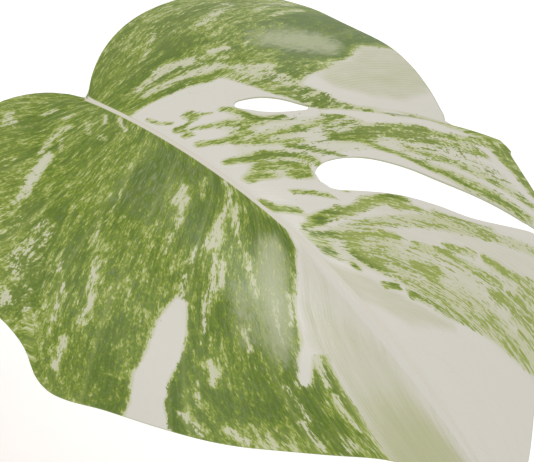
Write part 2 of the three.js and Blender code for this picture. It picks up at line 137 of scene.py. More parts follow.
# Leaf shapes
# Each half of a blade is drawn by its side veins. A vein is named by its place, 0 at the notch
# where the stalk joins and 1 at the tip, and a share runs from the midrib to the margin. Knots
# are (place, value): leave is the angle at which a vein leaves the midrib, curl how far it bends
# over 100 mm, both in degrees, and reach is its length in millimetres. Port is the half on the
# left when one looks from the notch to the tip, and starboard the other.

WIDE = {
    "leave": [(0, 126), (0.17, 94), (0.33, 79), (0.5, 65), (0.67, 51), (0.83, 38), (1, 28)],
    "curl": [(0, 58), (0.17, 34), (0.33, 22), (0.5, 19), (0.67, 20), (0.83, 25), (1, 30)],
    "reach": [(0, 118), (0.05, 141), (0.1, 146), (0.14, 153), (0.2, 149.5), (0.27, 141.5),
              (0.34, 132.5), (0.354, 132), (0.366, 154.5), (0.38, 153.5), (0.45, 151.5),
              (0.49, 145), (0.58, 120), (0.7, 83), (0.85, 44), (1, 0)],
}
NARROW = {
    "leave": [(0, 170), (0.17, 112), (0.33, 92), (0.5, 68), (0.67, 46), (0.83, 34), (1, 26)],
    "curl": [(0, 70), (0.17, 40), (0.33, 38), (0.5, 46), (0.67, 48), (0.83, 50), (1, 50)],
    "reach": [(0, 18), (0.04, 75), (0.08, 93), (0.16, 107), (0.2, 111.5), (0.228, 118),
              (0.242, 127.5), (0.265, 132), (0.3, 131.5), (0.35, 127.5), (0.42, 124.5),
              (0.46, 121.7), (0.5, 116), (0.58, 100), (0.67, 78.5), (0.83, 41), (1, 0)],
}
HEART = {
    "leave": [(0, 150), (0.17, 108), (0.33, 86), (0.5, 67), (0.67, 50), (0.83, 37), (1, 28)],
    "curl": [(0, 60), (0.17, 38), (0.33, 30), (0.5, 30), (0.67, 32), (0.83, 36), (1, 40)],
    "reach": [(0, 34), (0.04, 84), (0.09, 108), (0.16, 120), (0.28, 127), (0.4, 124), (0.52, 109),
              (0.66, 80), (0.82, 44), (1, 0)],
}


def slit(vein, start, end, half, **more):
    """An opening along a vein between two shares, `half` of the midrib to each side."""
    return {"vein": vein, "start": start, "end": end, "half": half, "blunt": 0.45, "taper": 0.9,
            "lean": [(0, 0), (1, 0)], "lift": 0, "spread": 0.09, **more}


HOLE_LEAN = [(0, 0), (0.15, -0.012), (0.27, -0.019), (0.32, -0.0095), (0.38, 0), (0.42, 0.008),
             (0.46, 0.017), (0.6, 0.01), (1, 0)]
SLOT_LEAN = [(0, 0), (0.22, -0.002), (0.3, -0.009), (0.42, -0.0096), (0.54, 0), (0.62, 0.0085),
             (0.7, 0.0105), (0.87, 0.008), (1, 0.006)]


def half_blade(shape, rise, curl, *slits):
    return {"shape": shape, "rise": rise, "curl": curl, "slits": slits}


LEAVES = [
    {"number": 1, "rows": 84, "columns": 32, "length": 142, "height": 124, "azimuth": 288,
     "at": (34, -122, 236), "yaw": 286, "pitch": 12, "roll": 5, "droop": 30, "sweep": -6,
     "wave": 1.5, "phase": 0.2, "greenness": 0.75,
     "port": half_blade(HEART, -8, 30),
     "starboard": half_blade(HEART, -6, 36)},
    {"number": 2, "rows": 100, "columns": 38, "length": 184, "height": 147, "azimuth": 228,
     "at": (-98, -112, 312), "yaw": 226, "pitch": 10, "roll": -7, "droop": 38, "sweep": 8,
     "wave": 2, "phase": 1.4, "greenness": 0.55,
     "port": half_blade(HEART, -8, 34, slit(0.42, 0.5, 1.05, 0.014)),
     "starboard": half_blade(HEART, -5, 30, slit(0.36, 0.3, 0.56, 0.014))},
    {"number": 3, "rows": 110, "columns": 42, "length": 212, "height": 170, "azimuth": 80,
     "at": (14, 132, 376), "yaw": 84, "pitch": 6, "roll": 4, "droop": 40, "sweep": -9,
     "wave": 2.5, "phase": 2.3, "greenness": 0.62,
     "port": half_blade(HEART, -9, 36, slit(0.31, 0.42, 1.05, 0.015),
                        slit(0.47, 0.34, 1.05, 0.02, blunt=0.3, taper=0.7)),
     "starboard": half_blade(WIDE, -6, 32, slit(0.36, 0.4, 1.05, 0.016))},
    {"number": 4, "rows": 180, "columns": 74, "length": 262, "height": 192, "azimuth": 346,
     "at": (165, -40, 415), "yaw": -34.6, "pitch": -4.7, "roll": -6, "droop": 45.3, "sweep": 13.3,
     "wave": 0, "phase": 0, "greenness": 0.5,
     "port": half_blade(WIDE, -9.1, 24.3,
                        slit(0.33, 0.26, 0.47, 0.0205, blunt=0.7, lean=HOLE_LEAN),
                        slit(0.36, 0.66, 1.1, 0.003, lift=5),
                        slit(0.49, 0.221, 0.94, 0.031, blunt=0.35, taper=1, lean=SLOT_LEAN),
                        slit(0.49, 0.88, 1.06, 0.002, blunt=0.3, taper=0.3)),
     "starboard": half_blade(NARROW, 0.1, 70)},
    {"number": 5, "rows": 120, "columns": 46, "length": 240, "height": 214, "azimuth": 166,
     "at": (-142, 34, 436), "yaw": 168, "pitch": 2, "roll": 6, "droop": 42, "sweep": 9,
     "wave": 2.5, "phase": 0.9, "greenness": 0.45,
     "port": half_blade(HEART, -8, 38, slit(0.34, 0.36, 1.05, 0.018),
                        slit(0.5, 0.3, 1.05, 0.02, blunt=0.3, taper=0.7)),
     "starboard": half_blade(WIDE, -7, 30, slit(0.36, 0.5, 1.05, 0.014),
                             slit(0.47, 0.22, 0.5, 0.018))},
]

# The places of the side veins that show as furrows and pleats.
SIDE_VEINS = [-0.02, 0.04, 0.1, 0.165, 0.235, 0.308, 0.37, 0.445, 0.53, 0.61, 0.69, 0.77, 0.86,
              0.94, 1.02]


def slit_opening(cut, share):
    """A slit's half width, its lean and its lift at a share, in parts of the midrib."""
    along = (share - cut["start"]) / (cut["end"] - cut["start"])
    lean = through(cut["lean"], share)
    if not 0 < along < 1:
        return 0, lean, 0
    blunt, taper = cut["blunt"], cut["taper"]
    widest = blunt / (blunt + taper)
    peak = widest ** blunt * (1 - widest) ** taper
    return cut["half"] * along ** blunt * (1 - along) ** taper / peak, lean, cut["lift"] * along


def parted(cut, share):
    """How far a slit that is open to the margin has parted its two edges, 0 to 1."""
    along = (share - cut["start"]) / (cut["end"] - cut["start"])
    return min(1, max(0, along)) if cut["end"] > 1 else 0


def flat_point(half, scale, place, edge, share):
    """A point of a flat half, as (to the tip, from the midrib, lift)."""
    shifted, margin, lift = place, place, 0
    for cut in half["slits"]:
        away = place - cut["vein"]
        near = max(0, 1 - abs(away) / cut["spread"]) ** 2
        side = edge if abs(away) < 1e-9 else math.copysign(1, away)
        gap, lean, rise = slit_opening(cut, share)
        shifted += near * (lean + side * gap)
        if abs(away) < 1e-9:
            margin += side * BLADE["lip_step"] * parted(cut, share)
        lift += near * side * rise * 0.5
    leave = math.radians(through(half["shape"]["leave"], shifted))
    rate = math.radians(through(half["shape"]["curl"], shifted)) / 100
    on, across = arc(leave, -rate, share * through(half["shape"]["reach"], margin))
    rib = BLADE["length"] * max(shifted, 0) ** BLADE["vein_crowding"]
    return scale * (rib + on), scale * across, scale * lift


def bent_point(leaf, side, flat, share, place, relief=0):
    """The flat leaf's point, bent: it droops, sweeps, and each half curls about the midrib."""
    x, y, lift = flat
    half = leaf["port"] if side > 0 else leaf["starboard"]
    yaw, pitch, roll = (math.radians(leaf[key]) for key in ("yaw", "pitch", "roll"))
    ahead = Vector((math.cos(yaw) * math.cos(pitch), math.sin(yaw) * math.cos(pitch),
                    -math.sin(pitch)))
    level = Vector((-math.sin(yaw), math.cos(yaw), 0))
    over = ahead.cross(level)
    left = level * math.cos(roll) + over * math.sin(roll)
    up = over * math.cos(roll) - level * math.sin(roll)
    droop = math.radians(leaf["droop"]) / leaf["length"]
    sweep = math.radians(leaf["sweep"]) / leaf["length"]
    on, down = arc(0, droop, x)
    bow, swing = droop * x, sweep * x
    tangent = ahead * math.cos(bow) - up * math.sin(bow)
    normal = ahead * math.sin(bow) + up * math.cos(bow)
    across = left * math.cos(swing) + tangent * math.sin(swing)
    rise = math.radians(half["rise"])
    curl = math.radians(half["curl"]) / BLADE["curl_reach"] * BLADE["length"] / leaf["length"]
    out, drop = arc(rise, curl, y)
    tilt = rise + curl * y
    wave = leaf["wave"] * share ** 2 * math.sin(
        math.tau * (BLADE["waves"] * place + 0.12 * side) + leaf["phase"] + side)
    lifted = wave + lift + relief
    return (Vector(leaf["at"]) + ahead * on - up * down - left * (0.5 * sweep * x * x)
            + across * (side * out) - normal * drop
            + normal * (lifted * math.cos(tilt)) + across * (side * lifted * math.sin(tilt)))


def gathered(share):
    """How much nearer the tip a streak seems to start, close to the midrib."""
    return 0.04 * math.exp(-share / 0.07)


def fanned(place, share):
    """How far the streaks have turned away from the veins, past a third of their way."""
    return (0.3 - 0.65 * place) * max(0, share - 0.3) * 0.8


def vein_line(place, share):
    """The place from which a vein or a streak through this point seems to come."""
    return place + gathered(share) + fanned(place, share) * min(1, place / 0.12)


# Marbling
# A mark is an area or a streak on one half of the blade, with a tone: 1 is pure cream, -1 pure
# green, and between them the tissue is mottled. Later marks cover earlier ones. After its tone
# and its softness or width in millimetres come a mark's points: place, share, place, share and
# so on, in thousandths.

ACROSS, ALONG = 300, 140  # millimetres that a whole place and a whole share count for
EDGE = 2.4  # how far the edge of a plain area fades to each side, in millimetres
PURE, PUSHED = 0.9, 1.5  # from this tone on, a mark is pushed out of the flecks' reach
STREAK_STRENGTH = 0.85
STREAK_CORE, STREAK_FADE = 0.3, 1.6  # of its width: where a streak starts to fade and ends
WILD_GROUND, WILD_WASH = -0.62, 0.12  # ground tone and wash of the halves with seeded marks


def paired(numbers):
    """Points from a mark's numbers."""
    return [(place / 1000, share / 1000) for place, share in zip(numbers[::2], numbers[1::2])]


def area(tone, soft, *numbers):
    return "area", tone, soft, paired(numbers)


def streak(tone, width, *numbers):
    return "streak", tone, width, paired(numbers)


def distance_to(x, y, points, closed):
    """How far each (x, y) is from a line through the points."""
    nearest = np.full(x.shape, 1e9)
    ends = list(zip(points, points[1:] + points[:1])) if closed else list(zip(points, points[1:]))
    for (ax, ay), (bx, by) in ends:
        dx, dy = bx - ax, by - ay
        share = np.clip(((x - ax) * dx + (y - ay) * dy) / max(dx ** 2 + dy ** 2, 1e-9), 0, 1)
        nearest = np.minimum(nearest, np.hypot(x - ax - share * dx, y - ay - share * dy))
    return nearest


def is_inside(x, y, points):
    """Whether each (x, y) is inside the outline."""
    inside = np.zeros(x.shape, bool)
    for (ax, ay), (bx, by) in zip(points, points[1:] + points[:1]):
        crosses = (ay > y) != (by > y)
        inside ^= crosses & (x < (bx - ax) * (y - ay) / (by - ay if by != ay else 1e-9) + ax)
    return inside


def tones(marks, ground, place, share):
    """The tone at each (place, share), after all the marks of a half."""
    x, y = place * ACROSS, share * ALONG
    tone = np.full(place.shape, float(ground))
    for form, target, size, points in marks:
        line = [(p * ACROSS, s * ALONG) for p, s in points]
        away = distance_to(x, y, line, form == "area")
        if form == "area":
            cover = eased(away * np.where(is_inside(x, y, line), 1, -1), -size, size)
        else:
            cover = 1 - eased(away, STREAK_CORE * size, STREAK_FADE * size + 0.9)
            target *= STREAK_STRENGTH
        push = PUSHED if abs(target) >= PURE else 1
        tone = tone * (1 - cover) + target * cover * push
    return tone


PORT_MARKS = [
    area(-0.85, 7, -20, -20, 140, -20, 140, 100, 145, 450, 110, 500, 110, 250, 60, 200, -20, 150),
    area(-1, 6, 100, 180, 130, 180, 140, 300, 135, 420, 110, 420, 100, 320),
    area(-0.7, 5, 60, 480, 115, 480, 120, 700, 60, 720),
    area(-1, 4, 90, 750, 135, 700, 161, 547, 195, 515, 220, 610, 233, 745, 197, 820, 205, 930,
         190, 1040, 70, 1040),
    area(1, 2.4, 190, -20, 205, 80, 215, 180, 230, 300, 250, 345, 290, 375, 315, 400, 330, 470,
         345, 500, 352, 600, 360, 1020, 1020, 1020, 1020, -20),
    area(0.8, 3, 335, 160, 337, 250, 349, 430, 384, 550, 394, 720, 418, 900, 452, 950, 451, 740,
         446, 590, 445, 460, 468, 300, 482, 200, 466, 70, 394, 90),
    area(0.35, 2, 575, 100, 548, 320, 530, 500, 520, 750, 515, 1020, 535, 1020, 545, 750, 560, 500,
         575, 250),
    area(0.72, 3, 591, 160, 585, 490, 592, 720, 605, 900, 715, 970, 690, 580, 665, 260, 633, 80,
         591, 30),
    area(-0.2, 4, 150, 60, 190, 80, 205, 300, 190, 420, 155, 350),
    streak(-0.35, 0.7, 87, 49, 107, 100, 118, 160, 121, 240, 120, 300),
    streak(0.5, 2.4, 150, 200, 160, 250, 170, 300),
    streak(0.3, 1.6, 155, 100, 160, 180),
    streak(0.7, 2.2, 186, 100, 195, 180, 204, 290, 207, 350),
    streak(0.4, 1.4, 165, 380, 173, 430),
    streak(-0.9, 2.6, 160, 35, 190, 70, 205, 140, 215, 220, 226, 280),
    streak(0.15, 1.8, 98, 500, 85, 580, 68, 660, 55, 720),
    streak(0.1, 1.2, 103, 740, 90, 830, 72, 920),
    streak(0.05, 1.2, 85, 740, 65, 840, 50, 950),
    streak(-0.05, 1.6, 108, 220, 90, 300, 70, 380),
    area(0.05, 2, 210, 360, 250, 360, 290, 400, 315, 470, 335, 540, 352, 620, 353, 680, 330, 600,
         290, 520, 255, 490, 232, 430),
    streak(-0.1, 3, 245, 350, 270, 375, 292, 420, 310, 480, 325, 540, 345, 600, 353, 670),
    streak(0.6, 2.4, 228, 400, 236, 430, 243, 475),
    streak(0.3, 1.6, 256, 390, 262, 450),
    streak(0.3, 1.6, 275, 450, 285, 490),
    area(1, 2.4, 275, 575, 292, 515, 310, 560, 330, 590, 345, 650, 352, 750, 357, 1040, 150, 1040,
         162, 950, 178, 860, 200, 815, 222, 775, 246, 700, 262, 660),
    streak(-0.5, 2, 316, 220, 328, 235, 343, 265, 352, 270),
    streak(-0.6, 1.5, 352, 270, 349, 310, 344, 360),
    streak(-0.3, 1.8, 359, 200, 360, 270, 352, 330),
    streak(-0.35, 3, 285, 120, 297, 130),
    streak(-0.35, 1, 295, 50, 305, 80, 302, 120),
    streak(-0.4, 1.5, 301, 45, 314, 65),
    streak(-0.5, 1.3, 323, 45, 329, 65),
    streak(-0.4, 1.2, 322, 90, 335, 125, 344, 175, 356, 240),
    streak(-0.3, 0.9, 263, 40, 279, 60),
    streak(-0.25, 0.8, 232, 28, 258, 35),
    streak(-0.35, 0.8, 302, 155, 312, 180),
    streak(-0.5, 2, 353, 50, 368, 90, 374, 130, 370, 180),
    streak(-0.4, 1.1, 380, 120, 394, 160, 402, 200, 411, 280),
    streak(-0.4, 1.4, 386, 170, 390, 260, 383, 330, 370, 420, 360, 490),
    streak(-0.35, 1, 390, 385, 385, 440, 377, 500),
    streak(-0.8, 2, 410, 50, 420, 100, 420, 150, 426, 175),
    streak(-0.6, 2.6, 456, 50, 447, 85, 440, 120, 449, 170, 462, 210),
    streak(-0.6, 2, 457, 55, 463, 110),
    streak(-0.8, 2.2, 470, 160, 474, 200),
    streak(-0.55, 1.5, 430, 200, 446, 245, 470, 260, 490, 268),
    streak(-0.3, 1.4, 413, 230, 437, 290, 456, 330, 478, 360),
    streak(-0.7, 3, 411, 385, 413, 430, 407, 490),
    streak(-0.6, 1.8, 420, 450, 438, 490, 452, 550, 466, 610),
    area(-0.4, 3, 450, 560, 468, 580, 486, 700, 488, 900, 475, 950, 462, 800, 455, 660),
    streak(-0.8, 2.6, 402, 470, 395, 540, 390, 620, 386, 700),
    streak(-0.6, 1.7, 386, 700, 387, 780, 381, 860, 371, 930, 367, 1000),
    streak(-0.45, 1.4, 406, 550, 408, 660, 401, 770, 400, 880),
    streak(-0.2, 1.6, 430, 580, 437, 700, 447, 840, 457, 960),
    streak(-0.4, 1.4, 361, 800, 362, 900, 365, 1000),
    area(-0.75, 1.6, 361, 950, 366, 1040, 410, 1040, 450, 1040, 445, 980, 420, 950, 394, 920,
         375, 910, 366, 920),
    streak(-0.85, 2.4, 503, 420, 514, 335, 530, 285, 543, 220, 550, 150, 556, 100),
    streak(-0.8, 3.4, 503, 430, 508, 370, 517, 315),
    streak(-0.4, 1.2, 500, 120, 508, 170, 517, 220),
    streak(-0.5, 1.6, 523, 400, 519, 480),
    streak(-0.8, 2.2, 507, 15, 524, 30, 535, 80),
    streak(-0.6, 1.6, 565, 60, 561, 120),
    area(-0.1, 2, 570, 30, 620, 30, 632, 80, 575, 100),
    streak(-0.6, 1.8, 585, 100, 586, 180, 582, 300, 583, 360),
    area(0.15, 2, 590, 170, 615, 140, 640, 180, 660, 300, 655, 360, 600, 340, 588, 250),
    streak(-0.8, 2.4, 598, 185, 615, 155, 630, 180, 633, 220),
    streak(-0.9, 1.8, 639, 115, 641, 120),
    streak(-0.6, 1.1, 668, 190, 668, 260),
    streak(-0.6, 1.6, 676, 300, 680, 380),
    streak(-0.6, 2.2, 624, 380, 630, 430, 627, 485),
    streak(-0.5, 1.3, 640, 430, 641, 470),
    area(0.1, 2.4, 650, 400, 658, 300, 672, 330, 690, 400, 698, 450, 700, 600, 703, 720, 714, 860,
         717, 1040, 660, 1040, 666, 850, 656, 700, 650, 580),
    streak(-0.3, 1.2, 592, 420, 594, 550, 606, 660, 611, 760),
    streak(-0.35, 1.3, 581, 550, 578, 660),
    streak(-0.7, 1.8, 580, 700, 587, 780, 589, 860, 585, 970),
    streak(-0.5, 1.5, 631, 720, 629, 800, 618, 880),
    area(0.15, 2.4, 578, 860, 600, 840, 640, 810, 700, 800, 720, 1040, 575, 1040),
    area(0, 4, 510, 520, 540, 490, 545, 600, 535, 720, 508, 740),
    streak(1, 1.4, 610, 500, 632, 667, 650, 760, 667, 840),
    area(1, 4, 720, -20, 700, 200, 710, 450, 712, 700, 725, 880, 740, 1040, 1020, 1040, 1020, -20),
]

STARBOARD_MARKS = [
    area(-1, 6, 310, 30, 400, 20, 430, 30, 450, 120, 440, 300, 420, 300, 410, 100, 360, 120,
         330, 300, 310, 200),
    area(-0.8, 8, 230, 880, 300, 840, 380, 860, 370, 1020, 220, 1020),
    area(-0.35, 10, 160, 620, 270, 550, 270, 800, 200, 1040, 100, 1040),
    area(1, 2.4, 550, -20, 573, 25, 584, 60, 588, 200, 586, 350, 592, 480, 582, 560, 577, 630,
         573, 700, 590, 690, 598, 610, 605, 530, 625, 500, 632, 570, 643, 680, 655, 750, 662, 850,
         672, 950, 690, 1040, 1020, 1040, 1020, -20),
    area(-0.85, 4, 573, 710, 600, 700, 600, 860, 585, 880),
    streak(0.7, 1.4, 610, 540, 613, 600, 616, 660),
    streak(0.5, 1.3, 623, 700, 629, 780, 645, 860),
    area(0, 4, 600, 900, 660, 870, 670, 970, 600, 1000),
    area(1, 1.4, 432, 490, 443, 500, 445, 600, 440, 700, 425, 800, 420, 900, 423, 1040, 366, 1040,
         380, 930, 385, 830, 400, 730, 412, 600),
    streak(0.3, 0.7, 435, 410, 437, 480),
    area(-1, 1.4, 448, 660, 450, 750, 432, 840, 430, 1040, 420, 1040, 417, 900, 427, 790,
         442, 700),
    area(0.2, 1.2, 460, 110, 468, 150, 473, 220, 472, 265, 455, 305, 448, 285, 456, 200, 457, 130),
    streak(0.6, 0.6, 440, 15, 455, 30, 465, 80, 468, 140),
    area(0.3, 1.2, 473, 60, 482, 65, 490, 120, 495, 175, 488, 190, 478, 130),
    streak(0.6, 0.7, 470, 300, 472, 370, 468, 450, 466, 510, 465, 580),
    streak(0.5, 0.8, 481, 310, 484, 370, 478, 420),
    streak(0.3, 0.6, 444, 300, 440, 360, 432, 385),
    streak(-0.3, 0.8, 280, 60, 296, 139, 310, 220, 316, 300, 316, 390),
    streak(0.6, 1.3, 393, 130, 392, 200),
    streak(0.4, 1.2, 405, 160, 407, 220, 412, 270),
    streak(0.3, 0.7, 405, 310, 406, 370),
    streak(0.2, 1, 412, 50, 420, 100, 425, 130),
    streak(0.75, 2.4, 163, 350, 167, 450, 168, 510),
    streak(0.1, 2.4, 214, 660, 205, 720, 198, 780),
    streak(0.4, 1.4, 168, 510, 165, 580),
    streak(0.2, 1.2, 140, 200, 142, 280, 147, 360),
    streak(0.15, 0.9, 155, 260, 168, 295),
    streak(0.5, 0.9, 180, 20, 200, 42, 226, 62),
    streak(0.5, 0.8, 148, 45, 163, 60, 178, 85),
    streak(0.25, 1.2, 153, 120, 168, 150, 180, 165),
    streak(0.15, 1.2, 200, 150, 217, 150),
    streak(0.2, 1.2, 82, 200, 85, 260),
    streak(0.3, 2.3, 57, 430, 55, 460),
    streak(0.3, 1.6, 73, 400, 68, 460),
    streak(0.15, 1.2, 117, 140, 115, 190),
    streak(0.25, 1, 222, 520, 210, 590),
    streak(0.1, 1.2, 245, 490, 222, 610, 200, 680, 185, 760),
    streak(0.3, 1, 275, 550, 270, 585),
    streak(0.35, 1, 284, 610, 281, 680, 277, 740),
    streak(0.4, 1.4, 325, 500, 325, 560, 328, 650),
    streak(0.3, 1.2, 322, 660, 320, 710),
    streak(0.15, 1, 307, 400, 312, 460),
    streak(0.35, 1.2, 298, 780, 290, 840, 279, 900),
    streak(0.4, 1.7, 193, 880, 187, 930),
    streak(0.2, 1.4, 235, 800, 222, 870),
    streak(0.3, 1, 575, 300, 580, 370, 577, 430),
    streak(0.1, 1.3, 557, 360, 560, 450, 562, 530),
    streak(0.2, 1, 523, 300, 530, 380),
    streak(0.5, 0.6, 513, 220, 517, 285),
    streak(0.2, 1, 515, 520, 519, 600),
    streak(0.6, 0.8, 471, 680, 473, 730, 469, 775),
    streak(0.35, 1.1, 556, 710, 568, 780, 576, 840),
    streak(0.5, 1.3, 564, 860, 569, 920, 578, 975),
    streak(0.5, 1.7, 432, 920, 445, 970),
    streak(0.5, 1.9, 478, 940, 492, 975),
    streak(0.3, 0.7, 453, 780, 449, 870),
    area(-0.1, 4, 500, 900, 550, 900, 550, 1020, 500, 1020),
    area(-1, 2, 500, 30, 520, 35, 550, 20, 575, 50, 581, 90, 535, 90, 524, 220, 513, 220,
         505, 100),
    area(-0.9, 3, 485, 430, 497, 440, 495, 580, 480, 600, 473, 500),
    area(-0.9, 4, 460, 800, 480, 780, 540, 780, 540, 880, 470, 900),
]


# How washed the tissue is: 1 is cream tinged green, 0 clean cream, below 0 painted milky sheen.
PORT_WASH_AND_SHEEN = [
    area(0.28, 10, -20, -20, 150, -20, 150, 400, 110, 600, 100, 1040, -20, 1040),
    area(0.6, 6, 500, 300, 500, 1040, 740, 1040, 700, 500, 670, 300, 630, 150, 570, 120),
    area(0.88, 5, 150, 970, 180, 830, 220, 760, 275, 580, 310, 610, 332, 740, 330, 870, 300, 990,
         250, 1060, 150, 1060),
    area(0.85, 6, 620, 0, 645, 100, 680, 300, 700, 500, 720, 500, 740, 200, 700, -20),
    area(0.7, 8, 550, 780, 600, 740, 610, 1060, 530, 1060),
    # Painted sheen: this area below 0 pales the green to milky, a reflection painted in.
    area(-0.85, 9, 152, 560, 148, 700, 160, 770, 190, 790, 215, 740, 205, 620, 178, 530),
    area(0.3, 6, 220, 100, 300, 20, 550, 20, 560, 120, 500, 300, 480, 500, 360, 500, 350, 300,
         290, 250),
    area(0.46, 8, 360, 500, 360, 1040, 490, 1040, 490, 800, 460, 500, 400, 450),
]
STARBOARD_WASH_AND_SHEEN = [
    area(0.3, 14, -20, 280, -20, 1040, 220, 1040, 250, 600, 200, 400, 100, 300),
    area(0.68, 5, 575, -20, 590, 100, 592, 500, 630, 550, 660, 850, 700, 1040, 1020, 1040,
         1020, -20),
    area(0.1, 5, 600, -20, 630, 50, 720, 120, 850, 200, 1020, 250, 1020, -20),
    area(0.85, 14, 600, 300, 630, 550, 660, 850, 700, 1040, 950, 1040, 900, 600, 840, 350, 760, 270,
         700, 220),
    area(0.9, 22, 700, 700, 680, 1040, 900, 1040, 880, 500, 790, 450),
    # Painted sheen: the areas below 0 pale the green to milky, the lights' reflection painted in.
    area(-0.16, 10, 290, 30, 400, 20, 430, 100, 410, 300, 300, 300),
    area(-0.88, 8, 530, 140, 534, 360, 540, 500, 552, 600, 563, 600, 575, 500, 575, 300, 566, 140,
         550, 80),
    area(-0.6, 9, 500, 380, 520, 350, 524, 540, 510, 580),
]

# Marks, ground tone, washes and ground wash of the two halves that the photograph shows.
# The washes carry the painted sheen as well as the cream's tinge.
SEEN = {1: (PORT_MARKS, -0.5, PORT_WASH_AND_SHEEN, 0), -1: (STARBOARD_MARKS, -0.72, STARBOARD_WASH_AND_SHEEN, 0)}


def wild_marks(leaf, side):
    """Seeded marks of the same kind for a half that the photograph doesn't show."""
    chance = random.Random(100 * leaf["number"] + 10 * side + 7)
    marks = []

    def line(vein, start, end):
        shares = [mix(start, end, k / 4) for k in range(5)]
        return [(vein - gathered(share) - fanned(vein, share), share) for share in shares]

    vein = chance.uniform(0.02, 0.1)
    while vein < 1:
        width = chance.uniform(0.025, 0.12)
        if chance.random() > leaf["greenness"]:
            inner = chance.choice([-0.02, -0.02, chance.uniform(0.1, 0.5)])
            outline = line(vein, inner, 1.04) + line(vein + width, 1.04, inner)
            marks.append(("area", chance.choice([1, 1, 0.8, 0.3]), EDGE, outline))
        vein += width + chance.uniform(0, 0.05)
    for _ in range(90):
        vein, start = chance.uniform(0.02, 0.95), chance.uniform(0, 0.9)
        end = start + chance.uniform(0.05, 0.28)
        tone = chance.choice([-0.9, -0.5, -0.3, 0.1, 0.3, 0.6])
        marks.append(("streak", tone, chance.uniform(0.6, 2.6), line(vein, start, end)))
    return marks


# Modelling helpers

def finished(bm, name, finish, nodes, sharp=55):
    """Turns a bmesh into a piece of the plant, smooth but for its sharp edges."""
    for face in bm.faces:
        face.smooth = True
    for edge in bm.edges:
        if len(edge.link_faces) == 2 and edge.calc_face_angle(0) > math.radians(sharp):
            edge.smooth = False
    mesh = bpy.data.meshes.new(name)
    bm.to_mesh(mesh)
    bm.free()
    mesh.materials.append(finish)
    piece = bpy.data.objects.new(name, mesh)
    bpy.context.scene.collection.objects.link(piece)
    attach(piece, "root")
    if nodes:
        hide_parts(*nodes)


class Path:
    """A curve measured along its own length."""

    STEPS = 320

    def __init__(self, point):
        self.points = [point(i / self.STEPS) for i in range(self.STEPS + 1)]
        self.lengths = [0]
        for a, b in zip(self.points, self.points[1:]):
            self.lengths.append(self.lengths[-1] + (b - a).length)
        self.length = self.lengths[-1]

    def at(self, share):
        """The point at a share of the length, and the direction there."""
        wanted = share * self.length
        i = min(max(int(np.searchsorted(self.lengths, wanted)) - 1, 0), len(self.points) - 2)
        a, b = self.points[i], self.points[i + 1]
        span = self.lengths[i + 1] - self.lengths[i]
        return a.lerp(b, (wanted - self.lengths[i]) / span), (b - a).normalized()


def knotted(points):
    """A centripetal curve through the points, as a function of 0 to 1."""
    def point(share):
        last = len(points) - 1
        i = min(int(share * last), last - 1)
        u = share * last - i
        before = points[i - 1] if i > 0 else 2 * points[0] - points[1]
        a, b = points[i], points[i + 1]
        after = points[i + 2] if i + 2 <= last else 2 * points[last] - points[last - 1]
        d0, d1, d2 = (math.sqrt((q - p).length) for p, q in ((before, a), (a, b), (b, after)))
        t0 = ((a - before) / d0 - (b - before) / (d0 + d1) + (b - a) / d1) * d1
        t1 = ((b - a) / d1 - (after - a) / (d1 + d2) + (after - b) / d2) * d1
        return (a + t0 * u + (3 * (b - a) - 2 * t0 - t1) * u ** 2
                + (2 * (a - b) + t0 + t1) * u ** 3)
    return point


def bezier(a, b, c, d):
    """A curve from a to d that leaves towards b and comes in from c."""
    def point(share):
        rest = 1 - share
        return (a * rest ** 3 + b * (3 * rest ** 2 * share) + c * (3 * rest * share ** 2)
                + d * share ** 3)
    return point


def swept(path, radius, side, steps, sides, end=1):
    """A tube along a path, from a grid wrapped round it. It carries its grain in millimetres."""
    bm = bmesh.new()
    bmesh.ops.create_grid(bm, x_segments=sides, y_segments=steps, size=1)
    grain = bm.verts.layers.float_vector.new("grain")
    run = bm.verts.layers.float.new("run")
    for vert in bm.verts:
        around = math.pi * (vert.co.x + 1)
        along = end * (vert.co.y + 1) / 2
        centre, ahead = path.at(along)
        out = (side - ahead * side.dot(ahead)).normalized()
        left = ahead.cross(out)
        r = radius(along, around)
        vert.co = MM * (centre + out * (r * math.cos(around)) + left * (r * math.sin(around)))
        vert[grain] = (GRAIN * math.cos(around), GRAIN * math.sin(around), along * path.length)
        vert[run] = along
    bmesh.ops.remove_doubles(bm, verts=bm.verts, dist=1e-7)
    rims = [edge for edge in bm.edges if edge.is_boundary]
    bmesh.ops.holes_fill(bm, edges=rims, sides=0)
    bmesh.ops.recalc_face_normals(bm, faces=bm.faces)
    return bm


def spun(profile, steps):
    """A turned body from (radius, height) pairs in millimetres."""
    bm = bmesh.new()
    line = [bm.verts.new((MM * r, 0, MM * z)) for r, z in profile]
    edges = [bm.edges.new(pair) for pair in zip(line, line[1:])]
    bmesh.ops.spin(bm, geom=line + edges, cent=(0, 0, 0), axis=(0, 0, 1), angle=math.tau,
                   steps=steps, use_merge=True)
    bmesh.ops.remove_doubles(bm, verts=bm.verts, dist=1e-6)
    bmesh.ops.recalc_face_normals(bm, faces=bm.faces)
    return bm


# Finishes

def tint(r, g, b):
    """A colour as seen on a screen, 0 to 255, for a shader."""
    def linear(value):
        value /= 255
        return value / 12.92 if value <= 0.04045 else ((value + 0.055) / 1.055) ** 2.4
    return linear(r), linear(g), linear(b), 1


class Value:
    """A number in a finish. Reckoning with it adds Math nodes."""

    def __init__(self, finish, socket):
        self.finish = finish
        self.socket = socket

    def __add__(self, other):
        return self.finish.math("ADD", self, other)

    def __sub__(self, other):
        return self.finish.math("SUBTRACT", self, other)

    def __rsub__(self, other):
        return self.finish.math("SUBTRACT", other, self)

    def __mul__(self, other):
        return self.finish.math("MULTIPLY", self, other)

    __radd__ = __add__
    __rmul__ = __mul__


